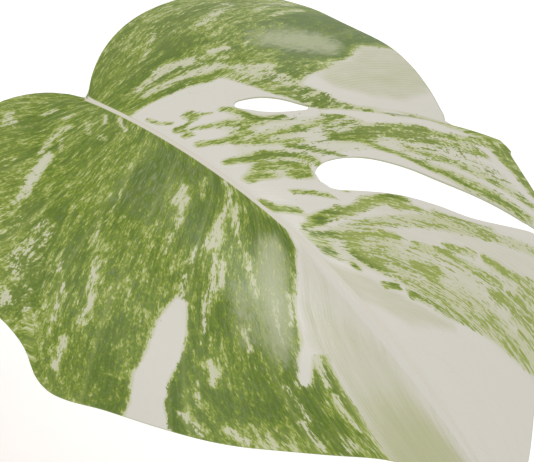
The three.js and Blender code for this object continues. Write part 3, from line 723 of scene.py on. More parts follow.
class Finish:
    """A material, and the few kinds of node that the finishes are made of."""

    def __init__(self, name, **shader):
        self.material = bpy.data.materials.new(name)
        self.material.use_nodes = True
        self.tree = self.material.node_tree
        self.tree.nodes.clear()
        self.shader = self.tree.nodes.new("ShaderNodeBsdfPrincipled")
        output = self.tree.nodes.new("ShaderNodeOutputMaterial")
        self.tree.links.new(self.shader.outputs[0], output.inputs["Surface"])
        self.set(**shader)

    def fill(self, made, sockets):
        """Links values to a node's sockets, and writes plain numbers and colours on them."""
        for key, given in sockets.items():
            if isinstance(given, Value):
                self.tree.links.new(given.socket, made.inputs[key])
            else:
                made.inputs[key].default_value = given

    def set(self, **shader):
        self.fill(self.shader, {key.replace("_", " "): given for key, given in shader.items()})

    def node(self, kind, output, settings, sockets):
        """A node of a kind with its settings and its sockets; gives the value of one output."""
        made = self.tree.nodes.new(kind)
        for key, setting in settings.items():
            setattr(made, key, setting)
        self.fill(made, sockets)
        return Value(self, made.outputs[output])

    def math(self, operation, *values):
        return self.node("ShaderNodeMath", 0, {"operation": operation}, dict(enumerate(values)))

    def position(self):
        return self.node("ShaderNodeTexCoord", "Object", {}, {})

    def attribute(self, name, output="Fac"):
        return self.node("ShaderNodeAttribute", output, {"attribute_name": name}, {})

    def stretched(self, vector, x, y, z):
        return self.node("ShaderNodeVectorMath", 0, {"operation": "MULTIPLY"},
                         {0: vector, 1: (x, y, z)})

    def noise(self, vector, scale, detail=3, roughness=0.55, distortion=0):
        return self.node("ShaderNodeTexNoise", "Fac", {}, {
            "Vector": vector, "Scale": scale, "Detail": detail, "Roughness": roughness,
            "Distortion": distortion})

    def stretched_noise(self, vector, x, y, z, *more):
        """Noise with its own scale along each axis."""
        return self.noise(self.stretched(vector, x, y, z), 1, *more)

    def cells(self, vector, scale):
        """How far each point is from the middle of its cell."""
        return self.node("ShaderNodeTexVoronoi", "Distance", {}, {"Vector": vector, "Scale": scale})

    def eased(self, value, low, high):
        """0 at low and 1 at high, smooth between; low may be the larger."""
        return self.node("ShaderNodeMapRange", "Result", {"interpolation_type": "SMOOTHSTEP"},
                         {"Value": value, "From Min": low, "From Max": high})

    def mix(self, factor, a, b):
        return self.node("ShaderNodeMix", 2, {"data_type": "RGBA"}, {0: factor, 6: a, 7: b})

    def coats(self, colour, *coats):
        """Lays coats over a colour, each given as (how far it covers, its colour)."""
        for cover, coat in coats:
            colour = self.mix(cover, colour, coat)
        return colour

    def axis(self, vector, name):
        return self.node("ShaderNodeSeparateXYZ", name, {}, {0: vector})

    def bump(self, height, depth):
        return self.node("ShaderNodeBump", "Normal", {}, {"Height": height, "Distance": depth})

    def complete(self, colour, roughness, height, depth):
        """The material, with its colour, its roughness and its relief of a depth in metres."""
        self.set(Base_Color=colour, Roughness=roughness, Normal=self.bump(height, depth))
        return self.material


def leaf_patterns(leaf):
    """Patterns along the veins, from broad bands to fine grain, with sizes in millimetres."""
    veins = leaf.attribute("veins", "Vector")

    def pattern(across, along, *more):
        return leaf.stretched_noise(veins, 1 / across, 1 / along, 1, *more)

    spots = leaf.cells(leaf.stretched(veins, 1 / 1.7, 1 / 3, 1), 1)
    return (pattern(10, 50), pattern(2.4, 9, 3, 0.6), pattern(1.2, 4.6, 3, 0.65, 0.3),
            pattern(0.5, 1.5, 2), pattern(0.9, 14, 2), leaf.eased(spots, 0.34, 0.16))


def leaf_tissue(leaf, patterns):
    """The marbled tissue: its colour, where it is cream, and how green that cream is tinged."""
    broad, strand, fleck, grain, fibre, dots = patterns
    tone, wash_and_sheen = leaf.attribute("tone"), leaf.attribute("wash_and_sheen")
    washed = leaf.eased(wash_and_sheen, 0.15, 0.5)
    marbling = tone + (broad - 0.5) * 1.1 + (strand - 0.5) * 2.3 + (fleck - 0.5) * 4
    marbling = marbling + (grain - 0.5) * 2.3 + dots * leaf.eased(strand, 0.46, 0.6) * 0.4
    speckles = ((grain - 0.5) * 2.4 + (fibre - 0.5) * 4) * leaf.eased(tone, 1.3, 0.9)
    marbling = marbling + speckles * washed
    # Painted sheen: where the wash falls below 0 the green is paled to milky, a reflection painted
    # in.
    painted_sheen = leaf.eased(wash_and_sheen + (fleck - 0.5) * 1.4, 0, -0.9)
    green = leaf.coats(
        leaf.mix(leaf.eased(marbling, -1.5, -0.6), tint(89, 112, 25), tint(115, 137, 38)),
        (leaf.eased(marbling, -0.7, -0.2), tint(142, 157, 57)),
        (leaf.eased(marbling, -0.36, 0), tint(168, 178, 102)),
        (leaf.eased(broad + (strand - 0.5) * 0.6, 0.5, 0.36) * 0.5, tint(84, 108, 28)),
        (washed * 0.35 + leaf.eased(wash_and_sheen, 0.44, 0.6) * 0.4, tint(160, 171, 90)),
        (painted_sheen * 0.8, tint(165, 172, 128)))
    tinge = leaf.eased(wash_and_sheen + (broad - 0.5) * 0.4 + (strand - 0.5) * 0.3, 0.35, 1.35)
    pale = leaf.mix(leaf.eased(marbling, 0.05, 0.55), tint(163, 176, 102), tint(200, 203, 156))
    white = leaf.coats(
        leaf.mix(tinge, tint(218, 214, 203), tint(188, 189, 150)),
        (leaf.eased(tone, 1.2, 0.3) * 0.6, tint(190, 193, 146)),
        (leaf.eased(tone, 0.25, -0.4) * 0.95, pale))
    cream = leaf.eased(marbling, -0.04, 0.12)
    # The painted sheen also pales the cream and the green a little towards milky white.
    colour = leaf.coats(green, (cream, white), (painted_sheen * 0.4, tint(186, 188, 156)))
    return colour, cream, tinge


def leaf_finish():
    """Leaf tissue marbled cream over green along the veins, glossy above and dull below."""
    leaf = Finish("leaf", Specular_IOR_Level=0.38)
    rib, under, margin, lateral = (
        leaf.attribute(name) for name in ("rib", "under", "margin", "lateral"))
    patterns = leaf_patterns(leaf)
    broad, strand, fleck, grain = patterns[:4]
    colour, cream, tinge = leaf_tissue(leaf, patterns)
    furrow = 1 - leaf.eased(leaf.math("PINGPONG", lateral, 0.5), 0, 0.07)
    fine = leaf.math("PINGPONG", lateral * 14, 0.5)
    threads = (1 - leaf.eased(fine, 0, 0.14)) * leaf.eased(broad + (fleck - 0.5) * 0.6, 0.36, 0.56)
    upper = leaf.eased(lateral, 10, 5)
    ridges = leaf.eased(leaf.math("PINGPONG", rib * 3, 0.5), 0.16, 0)
    midrib = leaf.mix(ridges * upper * 0.3, tint(218, 213, 198), tint(184, 172, 140))
    seam = leaf.eased(rib, 0.16, 0.3) * leaf.eased(rib, 0.48, 0.3) * (upper * 0.45 + 0.1)
    colour = leaf.coats(
        colour,
        (threads * cream * tinge * 0.7, tint(156, 164, 108)),
        ((1 - leaf.eased(fine, 0, 0.25)) * (0.1 - cream * 0.1), tint(158, 172, 96)),
        (furrow * (0.22 - cream * 0.2), tint(160, 172, 100)),
        (leaf.eased(rib, 0.3, 0.5), midrib),
        (seam, leaf.mix(cream, tint(168, 180, 104), tint(182, 168, 138))),
        (under * 0.55, tint(178, 188, 142)),
        (leaf.eased(margin, 0.55, 1) * 0.45, tint(150, 158, 98)))
    height = furrow * -0.12 + fine * 0.06 + (fleck - 0.5) * 0.25 + (grain - 0.5) * 0.12
    return leaf.complete(colour, 0.31 + under * 0.3 + (strand - 0.5) * 0.12, height, 0.0003)


def stalk_finish():
    """A smooth green stalk with pale streaks along it, paler at the knee."""
    stalk = Finish("stalk", Specular_IOR_Level=0.5)
    grain = stalk.attribute("grain", "Vector")
    run = stalk.attribute("run")
    strand = stalk.stretched_noise(grain, 0.5, 0.5, 1 / 40, 4, 0.6)
    fleck = stalk.stretched_noise(grain, 1.1, 1.1, 1 / 7, 3, 0.6)
    marbling = (strand - 0.5) * 1.6 + (fleck - 0.5) * 0.9
    green = stalk.mix(fleck, tint(96, 124, 52), tint(138, 158, 84))
    colour = stalk.coats(
        green,
        (stalk.eased(marbling, 0.08, 0.2), tint(196, 196, 158)),
        (stalk.eased(run, 0.86, 0.98) * 0.5, tint(170, 180, 118)),
        (stalk.eased(run, 0.12, 0) * 0.6, tint(146, 138, 86)))
    return stalk.complete(colour, 0.38 + fleck * 0.2, strand * 0.7 + fleck * 0.4, 0.0002)


def bark_finish():
    """A green-brown stem: corky at the leaf rings, with pale specks."""
    bark = Finish("bark", Specular_IOR_Level=0.4)
    grain = bark.attribute("grain", "Vector")
    ring = bark.attribute("ring")
    strand = bark.stretched_noise(grain, 0.45, 0.45, 1 / 14, 5, 0.65)
    cork = bark.stretched_noise(grain, 0.9, 0.9, 0.9, 4, 0.7)
    specks = bark.eased(bark.cells(bark.stretched(grain, 0.5, 0.5, 0.3), 1), 0.24, 0.14)
    green = bark.mix(strand, tint(92, 104, 52), tint(138, 142, 82))
    brown = bark.mix(cork, tint(92, 72, 46), tint(164, 144, 104))
    worn = bark.eased(ring + (cork - 0.5) * 0.9, 0.35, 0.7)
    colour = bark.coats(green, (worn, brown), (specks * 0.5, tint(176, 166, 128)))
    height = strand * 0.6 + cork * worn * 1.2 + specks * 0.3
    return bark.complete(colour, 0.55 + worn * 0.3, height, 0.0006)


def root_finish():
    """A dry corky root, wrinkled across."""
    root = Finish("root", Specular_IOR_Level=0.3)
    grain = root.attribute("grain", "Vector")
    wrinkle = root.stretched_noise(grain, 0.16, 0.16, 1.2, 4, 0.6)
    cork = root.stretched_noise(grain, 0.8, 0.8, 0.5, 4, 0.7)
    colour = root.coats(root.mix(cork, tint(92, 66, 40), tint(166, 134, 94)),
                        (root.eased(wrinkle, 0.6, 0.45) * 0.5, tint(72, 52, 34)))
    return root.complete(colour, 0.75 + cork * 0.15, wrinkle * 1.2 + cork * 0.6, 0.0006)


def new_leaf_finish():
    """A tightly rolled leaf, cream with green strands that wind up it."""
    roll = Finish("new leaf", Specular_IOR_Level=0.5)
    grain = roll.attribute("grain", "Vector")
    winding = roll.attribute("winding")
    strand = roll.stretched_noise(grain, 0.4, 0.4, 1 / 34, 4, 0.6)
    fleck = roll.stretched_noise(grain, 1.1, 1.1, 1 / 6, 3, 0.6)
    marbling = (strand - 0.5) * 1.8 + (fleck - 0.5) * 0.8
    white = roll.mix(fleck, tint(206, 206, 168), tint(220, 216, 190))
    green = roll.mix(fleck, tint(118, 146, 66), tint(156, 174, 98))
    colour = roll.coats(white, (roll.eased(marbling, 0, 0.16), green),
                        (roll.eased(winding, 0.93, 1) * 0.55, tint(132, 150, 78)))
    return roll.complete(colour, 0.36 + fleck * 0.15, strand * 0.6 + fleck * 0.3, 0.0002)


def clay_finish():
    """Dry fired clay with turning lines, a darker damp foot and a bloom of lime."""
    clay = Finish("clay", Specular_IOR_Level=0.25)
    place = clay.position()
    height = clay.axis(place, "Z")
    cloud = clay.noise(place, 18, 4, 0.6)
    grit = clay.noise(place, 900, 3, 0.7)
    pores = clay.eased(clay.cells(place, 420), 0.22, 0.08)
    lines = clay.stretched_noise(place, 6, 6, 620, 3, 0.6)
    bloom = clay.stretched_noise(place, 26, 26, 34, 5, 0.68)
    damp = clay.eased(height + (cloud - 0.5) * 0.06, 0.055, 0.01)
    lime = clay.eased(bloom, 0.56, 0.72) * clay.eased(height + (bloom - 0.5) * 0.05, 0.1, 0.03)
    lime_rim = clay.eased(bloom, 0.6, 0.74) * clay.eased(height, 0.1, 0.125)
    colour = clay.coats(
        clay.mix(cloud, tint(172, 98, 62), tint(205, 134, 94)),
        (clay.eased(lines, 0.5, 0.75) * 0.25, tint(214, 150, 112)),
        (damp * 0.45, tint(138, 78, 50)),
        ((lime + lime_rim) * 0.5, tint(214, 196, 178)),
        (pores * 0.5, tint(120, 66, 42)))
    relief = lines * 0.8 + grit * 0.5 - pores * 0.6
    return clay.complete(colour, 0.82 + (grit - 0.5) * 0.2 - damp * 0.1, relief, 0.0005)


def earth_finish():
    """Crumbly potting mix: dark peat with paler crumbs."""
    earth = Finish("earth", Specular_IOR_Level=0.3)
    place = earth.position()
    crumb = earth.noise(place, 420, 5, 0.7)
    cloud = earth.noise(place, 70, 3)
    fibres = earth.stretched_noise(place, 900, 240, 500, 2)
    colour = earth.coats(
        earth.mix(crumb, tint(30, 22, 16), tint(92, 70, 50)),
        (earth.eased(cloud, 0.5, 0.7) * 0.5, tint(48, 36, 27)),
        (earth.eased(fibres, 0.64, 0.72) * 0.6, tint(134, 104, 72)))
    return earth.complete(colour, 0.9 + (crumb - 0.5) * 0.2, crumb, 0.0012)


def chip_finish():
    """Bark chips and grains of perlite, each with its own tone."""
    chip = Finish("chips", Specular_IOR_Level=0.3)
    place = chip.position()
    tone = chip.attribute("kind")
    grit = chip.noise(place, 900, 4, 0.7)
    layers = chip.stretched_noise(place, 300, 900, 700, 3)
    perlite = chip.mix(grit, tint(190, 186, 176), tint(232, 230, 224))
    colour = chip.coats(
        chip.mix(tone * 1.4, tint(58, 38, 26), tint(140, 96, 62)),
        (chip.eased(layers, 0.5, 0.7) * 0.5, tint(42, 29, 21)),
        (chip.eased(tone, CHIPS["bark"] - 0.01, CHIPS["bark"] + 0.01), perlite))
    return chip.complete(colour, 0.88 + (grit - 0.5) * 0.2, grit + layers * 0.6, 0.0007)


# Blades

def places_with(count, crowding, keys):
    """Places from 0 to 1, closer near 0, with the nearest one moved onto each key."""
    places = [(i / count) ** crowding for i in range(count + 1)]
    taken = set()
    for key in keys:
        free = [i for i in range(1, count) if i not in taken]
        nearest = min(free, key=lambda i: abs(places[i] - key))
        places[nearest] = key
        taken.add(nearest)
    return sorted(places)


def sheet(rows, columns):
    """A flat grid whose corners know their row and their column."""
    bm = bmesh.new()
    bmesh.ops.create_grid(bm, x_segments=len(columns) - 1, y_segments=len(rows) - 1, size=1)
    row, column = bm.verts.layers.int.new("row"), bm.verts.layers.int.new("column")
    for vert in bm.verts:
        vert[row] = round((vert.co.y + 1) / 2 * (len(rows) - 1))
        vert[column] = round((vert.co.x + 1) / 2 * (len(columns) - 1))
    return bm


def cut_slits(bm, leaf, rows, columns):
    """Opens the sheet along its slits: the two sides of each no longer share their corners."""
    row, column = bm.verts.layers.int["row"], bm.verts.layers.int["column"]
    near = 1e-6
    for side, half in ((1, leaf["port"]), (-1, leaf["starboard"])):
        for cut in half["slits"]:
            k, low, high = rows.index(cut["vein"]), cut["start"] - near, cut["end"] + near
            lips = [edge for edge in bm.edges if all(
                vert[row] == k and low <= side * columns[vert[column]] <= high
                for vert in edge.verts)]
            bmesh.ops.split_edges(bm, edges=lips)


def relief_at(leaf, scale, place, share, rib_distance, lateral):
    """How far the upper face stands off the plain blade, in millimetres."""
    away = abs((lateral % 1) * 2 - 1)
    pleat = RELIEF["pleat"] * (1 - 0.6 * place) * (1 - away ** 2.2)
    pleat *= min(1, share / 0.12) * (1 - 0.75 * share ** 3)
    valley = -RELIEF["valley"] * bell(rib_distance, RELIEF["valley_width"] * scale)
    ridge = RELIEF["ridge"] * bell(rib_distance, RELIEF["ridge_width"] * scale) * (1 - 0.7 * place)
    uneven = noise.noise(Vector((place * 7, share * 3, leaf["number"] * 3.7)))
    middle = (valley + ridge) * min(1, place / 0.03)
    return scale * (pleat + middle) + RELIEF["unevenness"] * uneven * share


def depth_at(scale, place, share, rib_distance, lateral):
    """How far the lower face is below the upper one, in millimetres."""
    thickness = mix(BLADE["margin"], BLADE["thickness"], min(1, 6 * (1 - share)))
    keel = BLADE["rib_height"] * (1 - 0.85 * place)
    keel *= scale * bell(rib_distance, BLADE["rib_width"] * scale)
    ridge = RELIEF["vein_ridge"] * bell((lateral + 0.5) % 1 - 0.5, 0.09) * (1 - share) * scale
    return thickness + keel + ridge


def rib_shade(scale, place, rib_distance):
    """1 on the midrib and 0 beside it; the rib is widest at the notch."""
    width = (1.05 + 0.8 * math.exp(-place / 0.04)) * (1 - 0.3 * place)
    return bell(rib_distance, scale * width)


def bend(bm, leaf, rows, columns):
    """Moves the sheet's corners to their places on the blade, and writes what its finish reads."""
    scale = leaf["length"] / BLADE["length"]
    row, column = bm.verts.layers.int["row"], bm.verts.layers.int["column"]
    veins = bm.verts.layers.float_vector.new("veins")
    drop = bm.verts.layers.float_vector.new("drop")
    lateral_layer, rib, margin = (
        bm.verts.layers.float.new(key) for key in ("lateral", "rib", "margin"))
    for vert in bm.verts:
        place, signed = rows[vert[row]], columns[vert[column]]
        share, side = abs(signed), 1 if signed >= 0 else -1
        half = leaf["port"] if side > 0 else leaf["starboard"]
        near_rows = [other[row] for face in vert.link_faces for other in face.verts]
        edge = 1 if min(near_rows) == vert[row] else -1 if max(near_rows) == vert[row] else 0
        flat = flat_point(half, scale, place, edge, share)
        line = vein_line(place, share)
        lateral = float(np.interp(line, SIDE_VEINS, range(len(SIDE_VEINS))))
        rib_distance = math.hypot(flat[1], min(flat[0], 0))
        relief = relief_at(leaf, scale, place, share, rib_distance, lateral)
        vert.co = MM * bent_point(leaf, side, flat, share, place, relief)
        reach = share * through(half["shape"]["reach"], place) * scale
        vert[veins] = (ACROSS * scale * line, reach, leaf["number"] * 7.3 + side * 2.1)
        vert[lateral_layer] = lateral
        vert[rib] = rib_shade(scale, place, rib_distance)
        vert[margin] = 1 if vert.is_boundary else 0
        vert[drop] = (0, 0, depth_at(scale, place, share, rib_distance, lateral))


def thicken(bm):
    """Joins the slits' ends, and gives the sheet its thickness, its rib and its underside."""
    bmesh.ops.remove_doubles(bm, verts=bm.verts, dist=1e-6)
    bmesh.ops.recalc_face_normals(bm, faces=bm.faces)
    if sum(face.normal.z * face.calc_area() for face in bm.faces) < 0:
        bmesh.ops.reverse_faces(bm, faces=bm.faces)
    bm.normal_update()
    under = bm.verts.layers.float.new("under")
    drop = bm.verts.layers.float_vector["drop"]
    for vert in bm.verts:
        vert[drop] = -MM * vert[drop].z * vert.normal
    upper = bm.verts[:] + bm.edges[:] + bm.faces[:]
    made = bmesh.ops.extrude_face_region(bm, geom=upper, use_keep_orig=True)
    for item in made["geom"]:
        if isinstance(item, bmesh.types.BMVert):
            item.co += item[drop]
            item[under] = 1
    bmesh.ops.recalc_face_normals(bm, faces=bm.faces)


def blade(leaf, finish):
    """One leaf blade: a sheet drawn by its veins, bent, then given its thickness and rib."""
    cuts = leaf["port"]["slits"] + leaf["starboard"]["slits"]
    ends = {end for cut in cuts for end in (cut["start"], cut["end"]) if end < 0.97}
    rows = places_with(leaf["rows"], BLADE["row_crowding"], sorted({cut["vein"] for cut in cuts}))
    shares = places_with(leaf["columns"], BLADE["column_crowding"], sorted(ends))
    columns = [-share for share in reversed(shares[1:])] + shares
    bm = sheet(rows, columns)
    cut_slits(bm, leaf, rows, columns)
    bend(bm, leaf, rows, columns)
    paint(bm, leaf, rows, columns)
    thicken(bm)
    for name in ("row", "column"):
        bm.verts.layers.int.remove(bm.verts.layers.int[name])
    bm.verts.layers.float_vector.remove(bm.verts.layers.float_vector["drop"])
    number = leaf["number"]
    finished(bm, f"blade_{number}", finish, [f"leaf_{number}"])


def paint(bm, leaf, rows, columns):
    """Writes the marbling's tone and its wash with the painted sheen on every corner of the sheet.
    """
    row, column = bm.verts.layers.int["row"], bm.verts.layers.int["column"]
    tone, wash_and_sheen = bm.verts.layers.float.new("tone"), bm.verts.layers.float.new("wash_and_sheen")
    corners = list(bm.verts)
    place = np.array([rows[vert[row]] for vert in corners])
    signed = np.array([columns[vert[column]] for vert in corners])
    for side in (1, -1):
        marks, ground, washes_and_sheen, washed = SEEN[side] if leaf["number"] == 4 else (
            wild_marks(leaf, side), WILD_GROUND, [], WILD_WASH)
        toned = tones(marks, ground, place, abs(signed))
        tinged = tones(washes_and_sheen, washed, place, abs(signed))
        for k in np.flatnonzero(signed * side >= 0):
            corners[k][tone], corners[k][wash_and_sheen] = float(toned[k]), float(tinged[k])


# Stem, stalks, roots and the rolled leaf

stem_point = knotted([Vector((
    STEM["sway"] * (math.sin(3.6 * share) - 0.3 * share),
    -0.5 * STEM["sway"] * math.sin(2.6 * share + 0.3),
    mix(STEM["foot"], STEM["top"], share),
)) for share in (0, 0.25, 0.5, 0.75, 1)])


def stem_at(height):
    """The middle of the stem at a height."""
    return stem_point((height - STEM["foot"]) / (STEM["top"] - STEM["foot"]))


def stem(finish):
    """The stem, swollen and ringed where each leaf clasps it."""
    path = Path(stem_point)

    def radius(along, around):
        z = mix(STEM["foot"], STEM["top"], along)
        bare = mix(STEM["foot_radius"], STEM["top_radius"], along)
        for leaf in LEAVES:
            above = z - leaf["height"]
            bare += STEM["node_swell"] * bell(above + 2, STEM["node_reach"])
            bare += sum(high * bell(above + below, wide) for below, high, wide in RINGS)
        bare *= math.sqrt(min(1, max(0.02, (STEM["top"] - z) / STEM["tip"])))
        lump = noise.noise(Vector((math.cos(around) * 1.4, math.sin(around) * 1.4, z / 13)))
        return bare * (1 + STEM["lumps"] * lump)

    bm = swept(path, radius, Vector((1, 0, 0)), 300, 72)
    ring, run = bm.verts.layers.float.new("ring"), bm.verts.layers.float["run"]
    for vert in bm.verts:
        z = mix(STEM["foot"], STEM["top"], vert[run])
        scars = [bell(z - leaf["height"] + 6, 4) for leaf in LEAVES]
        vert[ring] = max(scars + [eased(z, *STEM["corky"])])
    finished(bm, "trunk", finish, ["stem"])


def stalk(leaf, finish):
    """A leaf stalk: it clasps the stem with two thin wings, and has a knee under the blade."""
    scale = mix(STALK["thinnest"], 1, (leaf["length"] - 140) / 120)
    blade_scale = leaf["length"] / BLADE["length"]
    seat = BLADE["rib_seat"] * blade_scale

    def near_seat(x, y, side=1):
        return bent_point(leaf, side, (seat + x, y, 0), 0, 0)

    ahead = (near_seat(1, 0) - near_seat(0, 0)).normalized()
    beside = (near_seat(0, 1) - near_seat(0, 1, -1)).normalized()
    normal = ahead.cross(beside).normalized()
    end = near_seat(0, 0) - normal * (BLADE["rib_height"] * blade_scale - STALK["sunk"])
    out = heading(leaf["azimuth"])
    start = stem_at(leaf["height"]) + out * 2
    reach = (end - start).length
    way = (out * 0.42 + Vector((0, 0, 1))).normalized()
    path = Path(bezier(start, start + way * (reach * 0.45), end - normal * (reach * 0.3), end))

    def radius(along, around):
        sheath = max(0, 1 - along / STALK["sheath"])
        shaft = mix(STALK["foot"], STALK["top"], along) + STALK["sheath_swell"] * sheath ** 1.5
        left = (1 - along) * path.length
        beyond = left - STALK["knee"]
        knee = STALK["knee_swell"] * bell(beyond, STALK["knee_reach"])
        knee += STALK["creases"] * math.sin(left * 1.9) * bell(beyond, STALK["knee"])
        turned = abs(math.remainder(around, math.tau))
        fade = min(1, 2 * sheath)
        groove = STALK["groove"] * bell(turned, 0.5) * max(fade, 0.25 * (1 - along))
        wing = STALK["wing"] * bell(turned - 0.78, 0.17) * fade
        return scale * (shaft + knee) * (1 - groove + wing)

    inward = (Vector((0, 0, 0.35)) - out).normalized()
    bm = swept(path, radius, inward, 120, 60)
    number = leaf["number"]
    finished(bm, f"stalk_{number}", finish, [f"petiole_{number}"])


def rolled_leaf(finish):
    """The newest leaf, still rolled: its edge winds up round it to the tip."""
    foot = Path(stem_point).at(1)[0]
    middle, tip = foot + Vector((0, 0, 0.55 * ROLL["rise"])), foot + Vector((8, 16, ROLL["rise"]))
    path = Path(lambda share: foot.lerp(middle, share).lerp(middle.lerp(tip, share), share))

    def turn_of(along, around):
        return (around / math.tau + ROLL["turns"] * along + ROLL["seam"]) % 1

    def radius(along, around):
        width = mix(0.72, 1, min(1, along / 0.25)) * max(0, 1 - along ** 3) ** 0.8
        edge = turn_of(along, around)
        lip = ROLL["lip"] * (edge - 0.5) - 0.05 * bell(edge - 1, 0.03)
        return max(ROLL["least"], ROLL["radius"] * width) * (1 + lip)

    bm = swept(path, radius, Vector((1, 0, 0)), 220, 84, end=0.999)
    winding = bm.verts.layers.float.new("winding")
    grain, run = bm.verts.layers.float_vector["grain"], bm.verts.layers.float["run"]
    for vert in bm.verts:
        around = math.atan2(vert[grain].y, vert[grain].x) % math.tau
        vert[winding] = turn_of(vert[run], around)
    finished(bm, "rolled_leaf", finish, ["new_leaf"])


def air_root(number, height, azimuth, landing, finish):
    """A root from the stem that bends down into the soil."""
    out, level = heading(azimuth), SOIL["level"]
    falls = [(0.55, height - 5), (0.86, (height + level) / 2), (1, level + 2), (1.04, level - 22)]
    path = Path(knotted([stem_at(height) + out * 3] + [
        out * (landing * far) + Vector((0, 0, z)) for far, z in falls]))

    def radius(along, around):
        wrinkle = noise.noise(Vector((math.cos(around), math.sin(around), along * path.length / 3)))
        lump = noise.noise(Vector((number * 5, 0, along * path.length / 11)))
        uneven = 1 + ROOT["wrinkles"] * wrinkle + ROOT["lumps"] * lump
        return mix(ROOT["top"], ROOT["end"], along) * uneven

    bm = swept(path, radius, Vector((0.2, 0.1, 1)), 160, 28)
    finished(bm, f"air_root_{number}", finish, [f"aerial_root_{number}"])


# Pot and soil

def wall_radius(z):
    """The pot's outer radius at a height below its rim."""
    return mix(POT["foot"], POT["rim"] - POT["rim_step"], z / POT["rim_foot"])


def pot_profile():
    """The pot's section: out along its foot, up its outside, over the rim and down its inside."""
    foot, rim, height = POT["rim_foot"], POT["rim"], POT["height"]
    wall, base = POT["wall"], POT["floor"]
    line = [(0, 0), (30, 0), (54.4, 0), (55.4, 0.25), (56.4, 0.9), (wall_radius(2), 2)]
    line += [(wall_radius(z), z) for z in range(6, foot - 1, 6)]
    line += [(wall_radius(foot - 0.8), foot - 0.8), (wall_radius(foot) + 0.5, foot + 0.1)]
    line += [(rim - 2.6, foot + 0.7), (rim - 1.2, foot + 1.2), (rim - 0.6, foot + 2.2)]
    low, high = (rim - 0.45, foot + 4), (rim, height - 3)
    line += [(mix(low[0], high[0], k / 5), mix(low[1], high[1], k / 5)) for k in range(6)]
    line += [(rim - 0.25, height - 1.4), (rim - 1, height - 0.4), (rim - 2.2, height)]
    line += [(rim - 3.4, height), (rim - 4.8, height - 0.3), (rim - 5.7, height - 1.2)]
    line += [(rim - 6, height - 2.6), (rim - 6.8, height - 8), (rim - 8, height - 16)]
    line += [(rim - 10, height - 24), (wall_radius(foot) - wall, foot - 2)]
    line += [(wall_radius(z) - wall, z) for z in range(90, base, -12)]
    line += [(wall_radius(base + 2) - wall - 0.6, base + 1), (wall_radius(base) - wall - 3, base)]
    return line + [(25, base), (0, base)]


def drill():
    """The rods that the drain holes are cut with."""
    bm = bmesh.new()
    radius, depth = POT["drain"] * MM, 30 * MM
    for k in range(POT["drains"]):
        made = bmesh.ops.create_cone(bm, cap_ends=True, segments=40, radius1=radius,
                                     radius2=radius, depth=depth)
        way = heading(360 / POT["drains"] * k)
        bmesh.ops.translate(bm, verts=made["verts"], vec=way * (POT["drain_ring"] * MM))
    return bm


def clay_pot(finish):
    """The pot, turned in one piece, with a thick rim and three drain holes."""
    body, rods = (bpy.data.objects.new(name, bpy.data.meshes.new(name))
                  for name in ("body", "drains"))
    for item, bm in ((body, spun(pot_profile(), 144)), (rods, drill())):
        bm.to_mesh(item.data)
        bm.free()
        bpy.context.scene.collection.objects.link(item)
    cut = body.modifiers.new("drains", "BOOLEAN")
    cut.operation, cut.solver, cut.object = "DIFFERENCE", "EXACT", rods
    bpy.context.view_layer.update()
    drained = bmesh.new()
    drained.from_object(body, bpy.context.evaluated_depsgraph_get())
    for item in (body, rods):
        bpy.data.objects.remove(item)
    finished(drained, "clay_pot", finish, ["pot"], sharp=38)


def soil_height(x, y):
    """The soil's surface: crowned in the middle, rippled and crumbly, calm at the wall."""
    r = math.hypot(x, y)
    crown = SOIL["crown"] * (1 - (r / SOIL["radius"]) ** 2)
    ripple = math.sin(0.11 * x + 0.7) * math.cos(0.13 * y - 0.4) + 0.6 * math.sin(0.21 * (x - y))
    crumb = 0.9 * noise.noise(Vector((x / 6, y / 6, 3)))
    crumb += 0.7 * noise.noise(Vector((x / 2.3, y / 2.3, 8)))
    return SOIL["level"] + crown + SOIL["ripple"] * ripple * eased(r, *SOIL["calm"]) + crumb


def soil(finish):
    """The potting mix that fills the pot, crumbly on top."""
    level, wall, base = SOIL["level"], POT["wall"], POT["floor"]
    edge = wall_radius(level) - wall - SOIL["edge"]
    profile = [(0, base + 0.3), (wall_radius(base) - wall - 1, base + 0.3),
               (wall_radius(level - 16) - wall - SOIL["edge"], level - 16), (edge, level - 1)]
    profile += [(edge * (1 - k / 60), level) for k in range(1, 61)]
    bm = spun(profile, 180)
    for vert in bm.verts:
        x, y, z = vert.co / MM
        if z > level - 0.5:
            vert.co.z = MM * min(soil_height(x, y), level + 6)
    finished(bm, "potting_mix", finish, ["soil"])


def chips(finish):
    """Bark chips and perlite lying in the top of the soil, as one piece."""
    chance = random.Random(11)
    bm = bmesh.new()
    kind = bm.verts.layers.float.new("kind")
    for _ in range(CHIPS["count"]):
        r, angle = CHIPS["spread"] * math.sqrt(chance.random()), chance.uniform(0, math.tau)
        x, y = r * math.cos(angle), r * math.sin(angle)
        if math.hypot(x - 1, y + 1) < CHIPS["clear"]:
            continue
        tone, sizes, flat = chance.random(), (0.9, 1.8), (1, 0.9, 0.8)
        if tone < CHIPS["bark"]:
            sizes, flat = (1.4, 3.4), (1.6, 0.9, 0.45)
        size = chance.uniform(*sizes)
        turn = Vector((chance.uniform(-0.5, 0.5), chance.uniform(-0.5, 0.5),
                       chance.uniform(0, math.tau)))
        cos, sin = math.cos(turn.z), math.sin(turn.z)
        middle = Vector((x, y, soil_height(x, y) + size * CHIPS["lift"]))
        for vert in bmesh.ops.create_icosphere(bm, subdivisions=1, radius=1)["verts"]:
            jag = 1 + 0.3 * noise.noise(vert.co * 2 + Vector((x, y, 0)))
            a, b, c = (vert.co[k] * flat[k] * size * jag for k in range(3))
            a, b = a * cos - b * sin, a * sin + b * cos
            vert.co = MM * (middle + Vector((a, b, c + a * turn.x * 0.5 + b * turn.y * 0.5)))
            vert[kind] = tone
    finished(bm, "soil_chips", finish, [], sharp=30)


# Studio

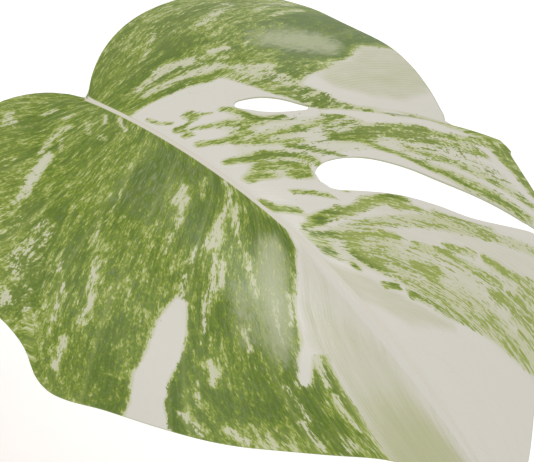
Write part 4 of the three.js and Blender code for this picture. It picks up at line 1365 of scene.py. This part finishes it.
def floor():
    """White paper, just below the pot's foot."""
    bm = bmesh.new()
    bmesh.ops.create_grid(bm, x_segments=4, y_segments=4, size=6)
    mesh = bpy.data.meshes.new("floor")
    bm.to_mesh(mesh)
    bm.free()
    paper = Finish("paper", Roughness=0.9, Specular_IOR_Level=0.2, Emission_Color=(1, 1, 1, 1),
                   Emission_Strength=0.32)
    tooth = paper.noise(paper.position(), 40, 3)
    paper.set(Base_Color=paper.mix(tooth, tint(244, 244, 244), tint(249, 249, 249)))
    mesh.materials.append(paper.material)
    ground = bpy.data.objects.new("floor", mesh)
    ground.location.z = -0.0005
    bpy.context.scene.collection.objects.link(ground)


def panel(name, way, distance, width, depth, power, aim=(0.23, -0.07, 0.4)):
    """A soft light panel that looks at the large leaf from the given way."""
    light = bpy.data.lights.new(name, "AREA")
    light.shape = "RECTANGLE"
    light.size, light.size_y = width, depth
    light.energy = power
    lamp = bpy.data.objects.new(name, light)
    way = Vector(way).normalized()
    lamp.location = Vector(aim) + way * distance
    lamp.rotation_euler = way.to_track_quat("Z", "Y").to_euler()
    lamp.visible_camera = False
    bpy.context.scene.collection.objects.link(lamp)


def studio():
    """A bright room with white walls, the floor and three soft lights."""
    scene = bpy.context.scene
    scene.view_settings.view_transform = "Standard"
    scene.view_settings.look = "None"
    world = bpy.data.worlds.new("studio")
    world.use_nodes = True
    room = world.node_tree.nodes["Background"].inputs
    room["Color"].default_value = (1, 1, 1, 1)
    room["Strength"].default_value = 0.66
    scene.world = world
    floor()
    panel("overhead", (0.17, 0.1, 0.98), 2.5, 0.75, 0.8, 13.5)
    panel("back", (0.23, 0.93, 0.27), 2.5, 0.6, 0.35, 1)
    panel("front left", (-0.6, -0.5, 0.75), 3, 2.2, 2.2, 12)


# The plant

def plant():
    """All the pieces, from the pot up."""
    leaf, green = leaf_finish(), stalk_finish()
    clay_pot(clay_finish())
    soil(earth_finish())
    chips(chip_finish())
    stem(bark_finish())
    cork = root_finish()
    air_root(1, 142, 20, 34, cork)
    air_root(2, 164, 150, 38, cork)
    for item in LEAVES:
        stalk(item, green)
        blade(item, leaf)
    rolled_leaf(new_leaf_finish())


plant()
studio()
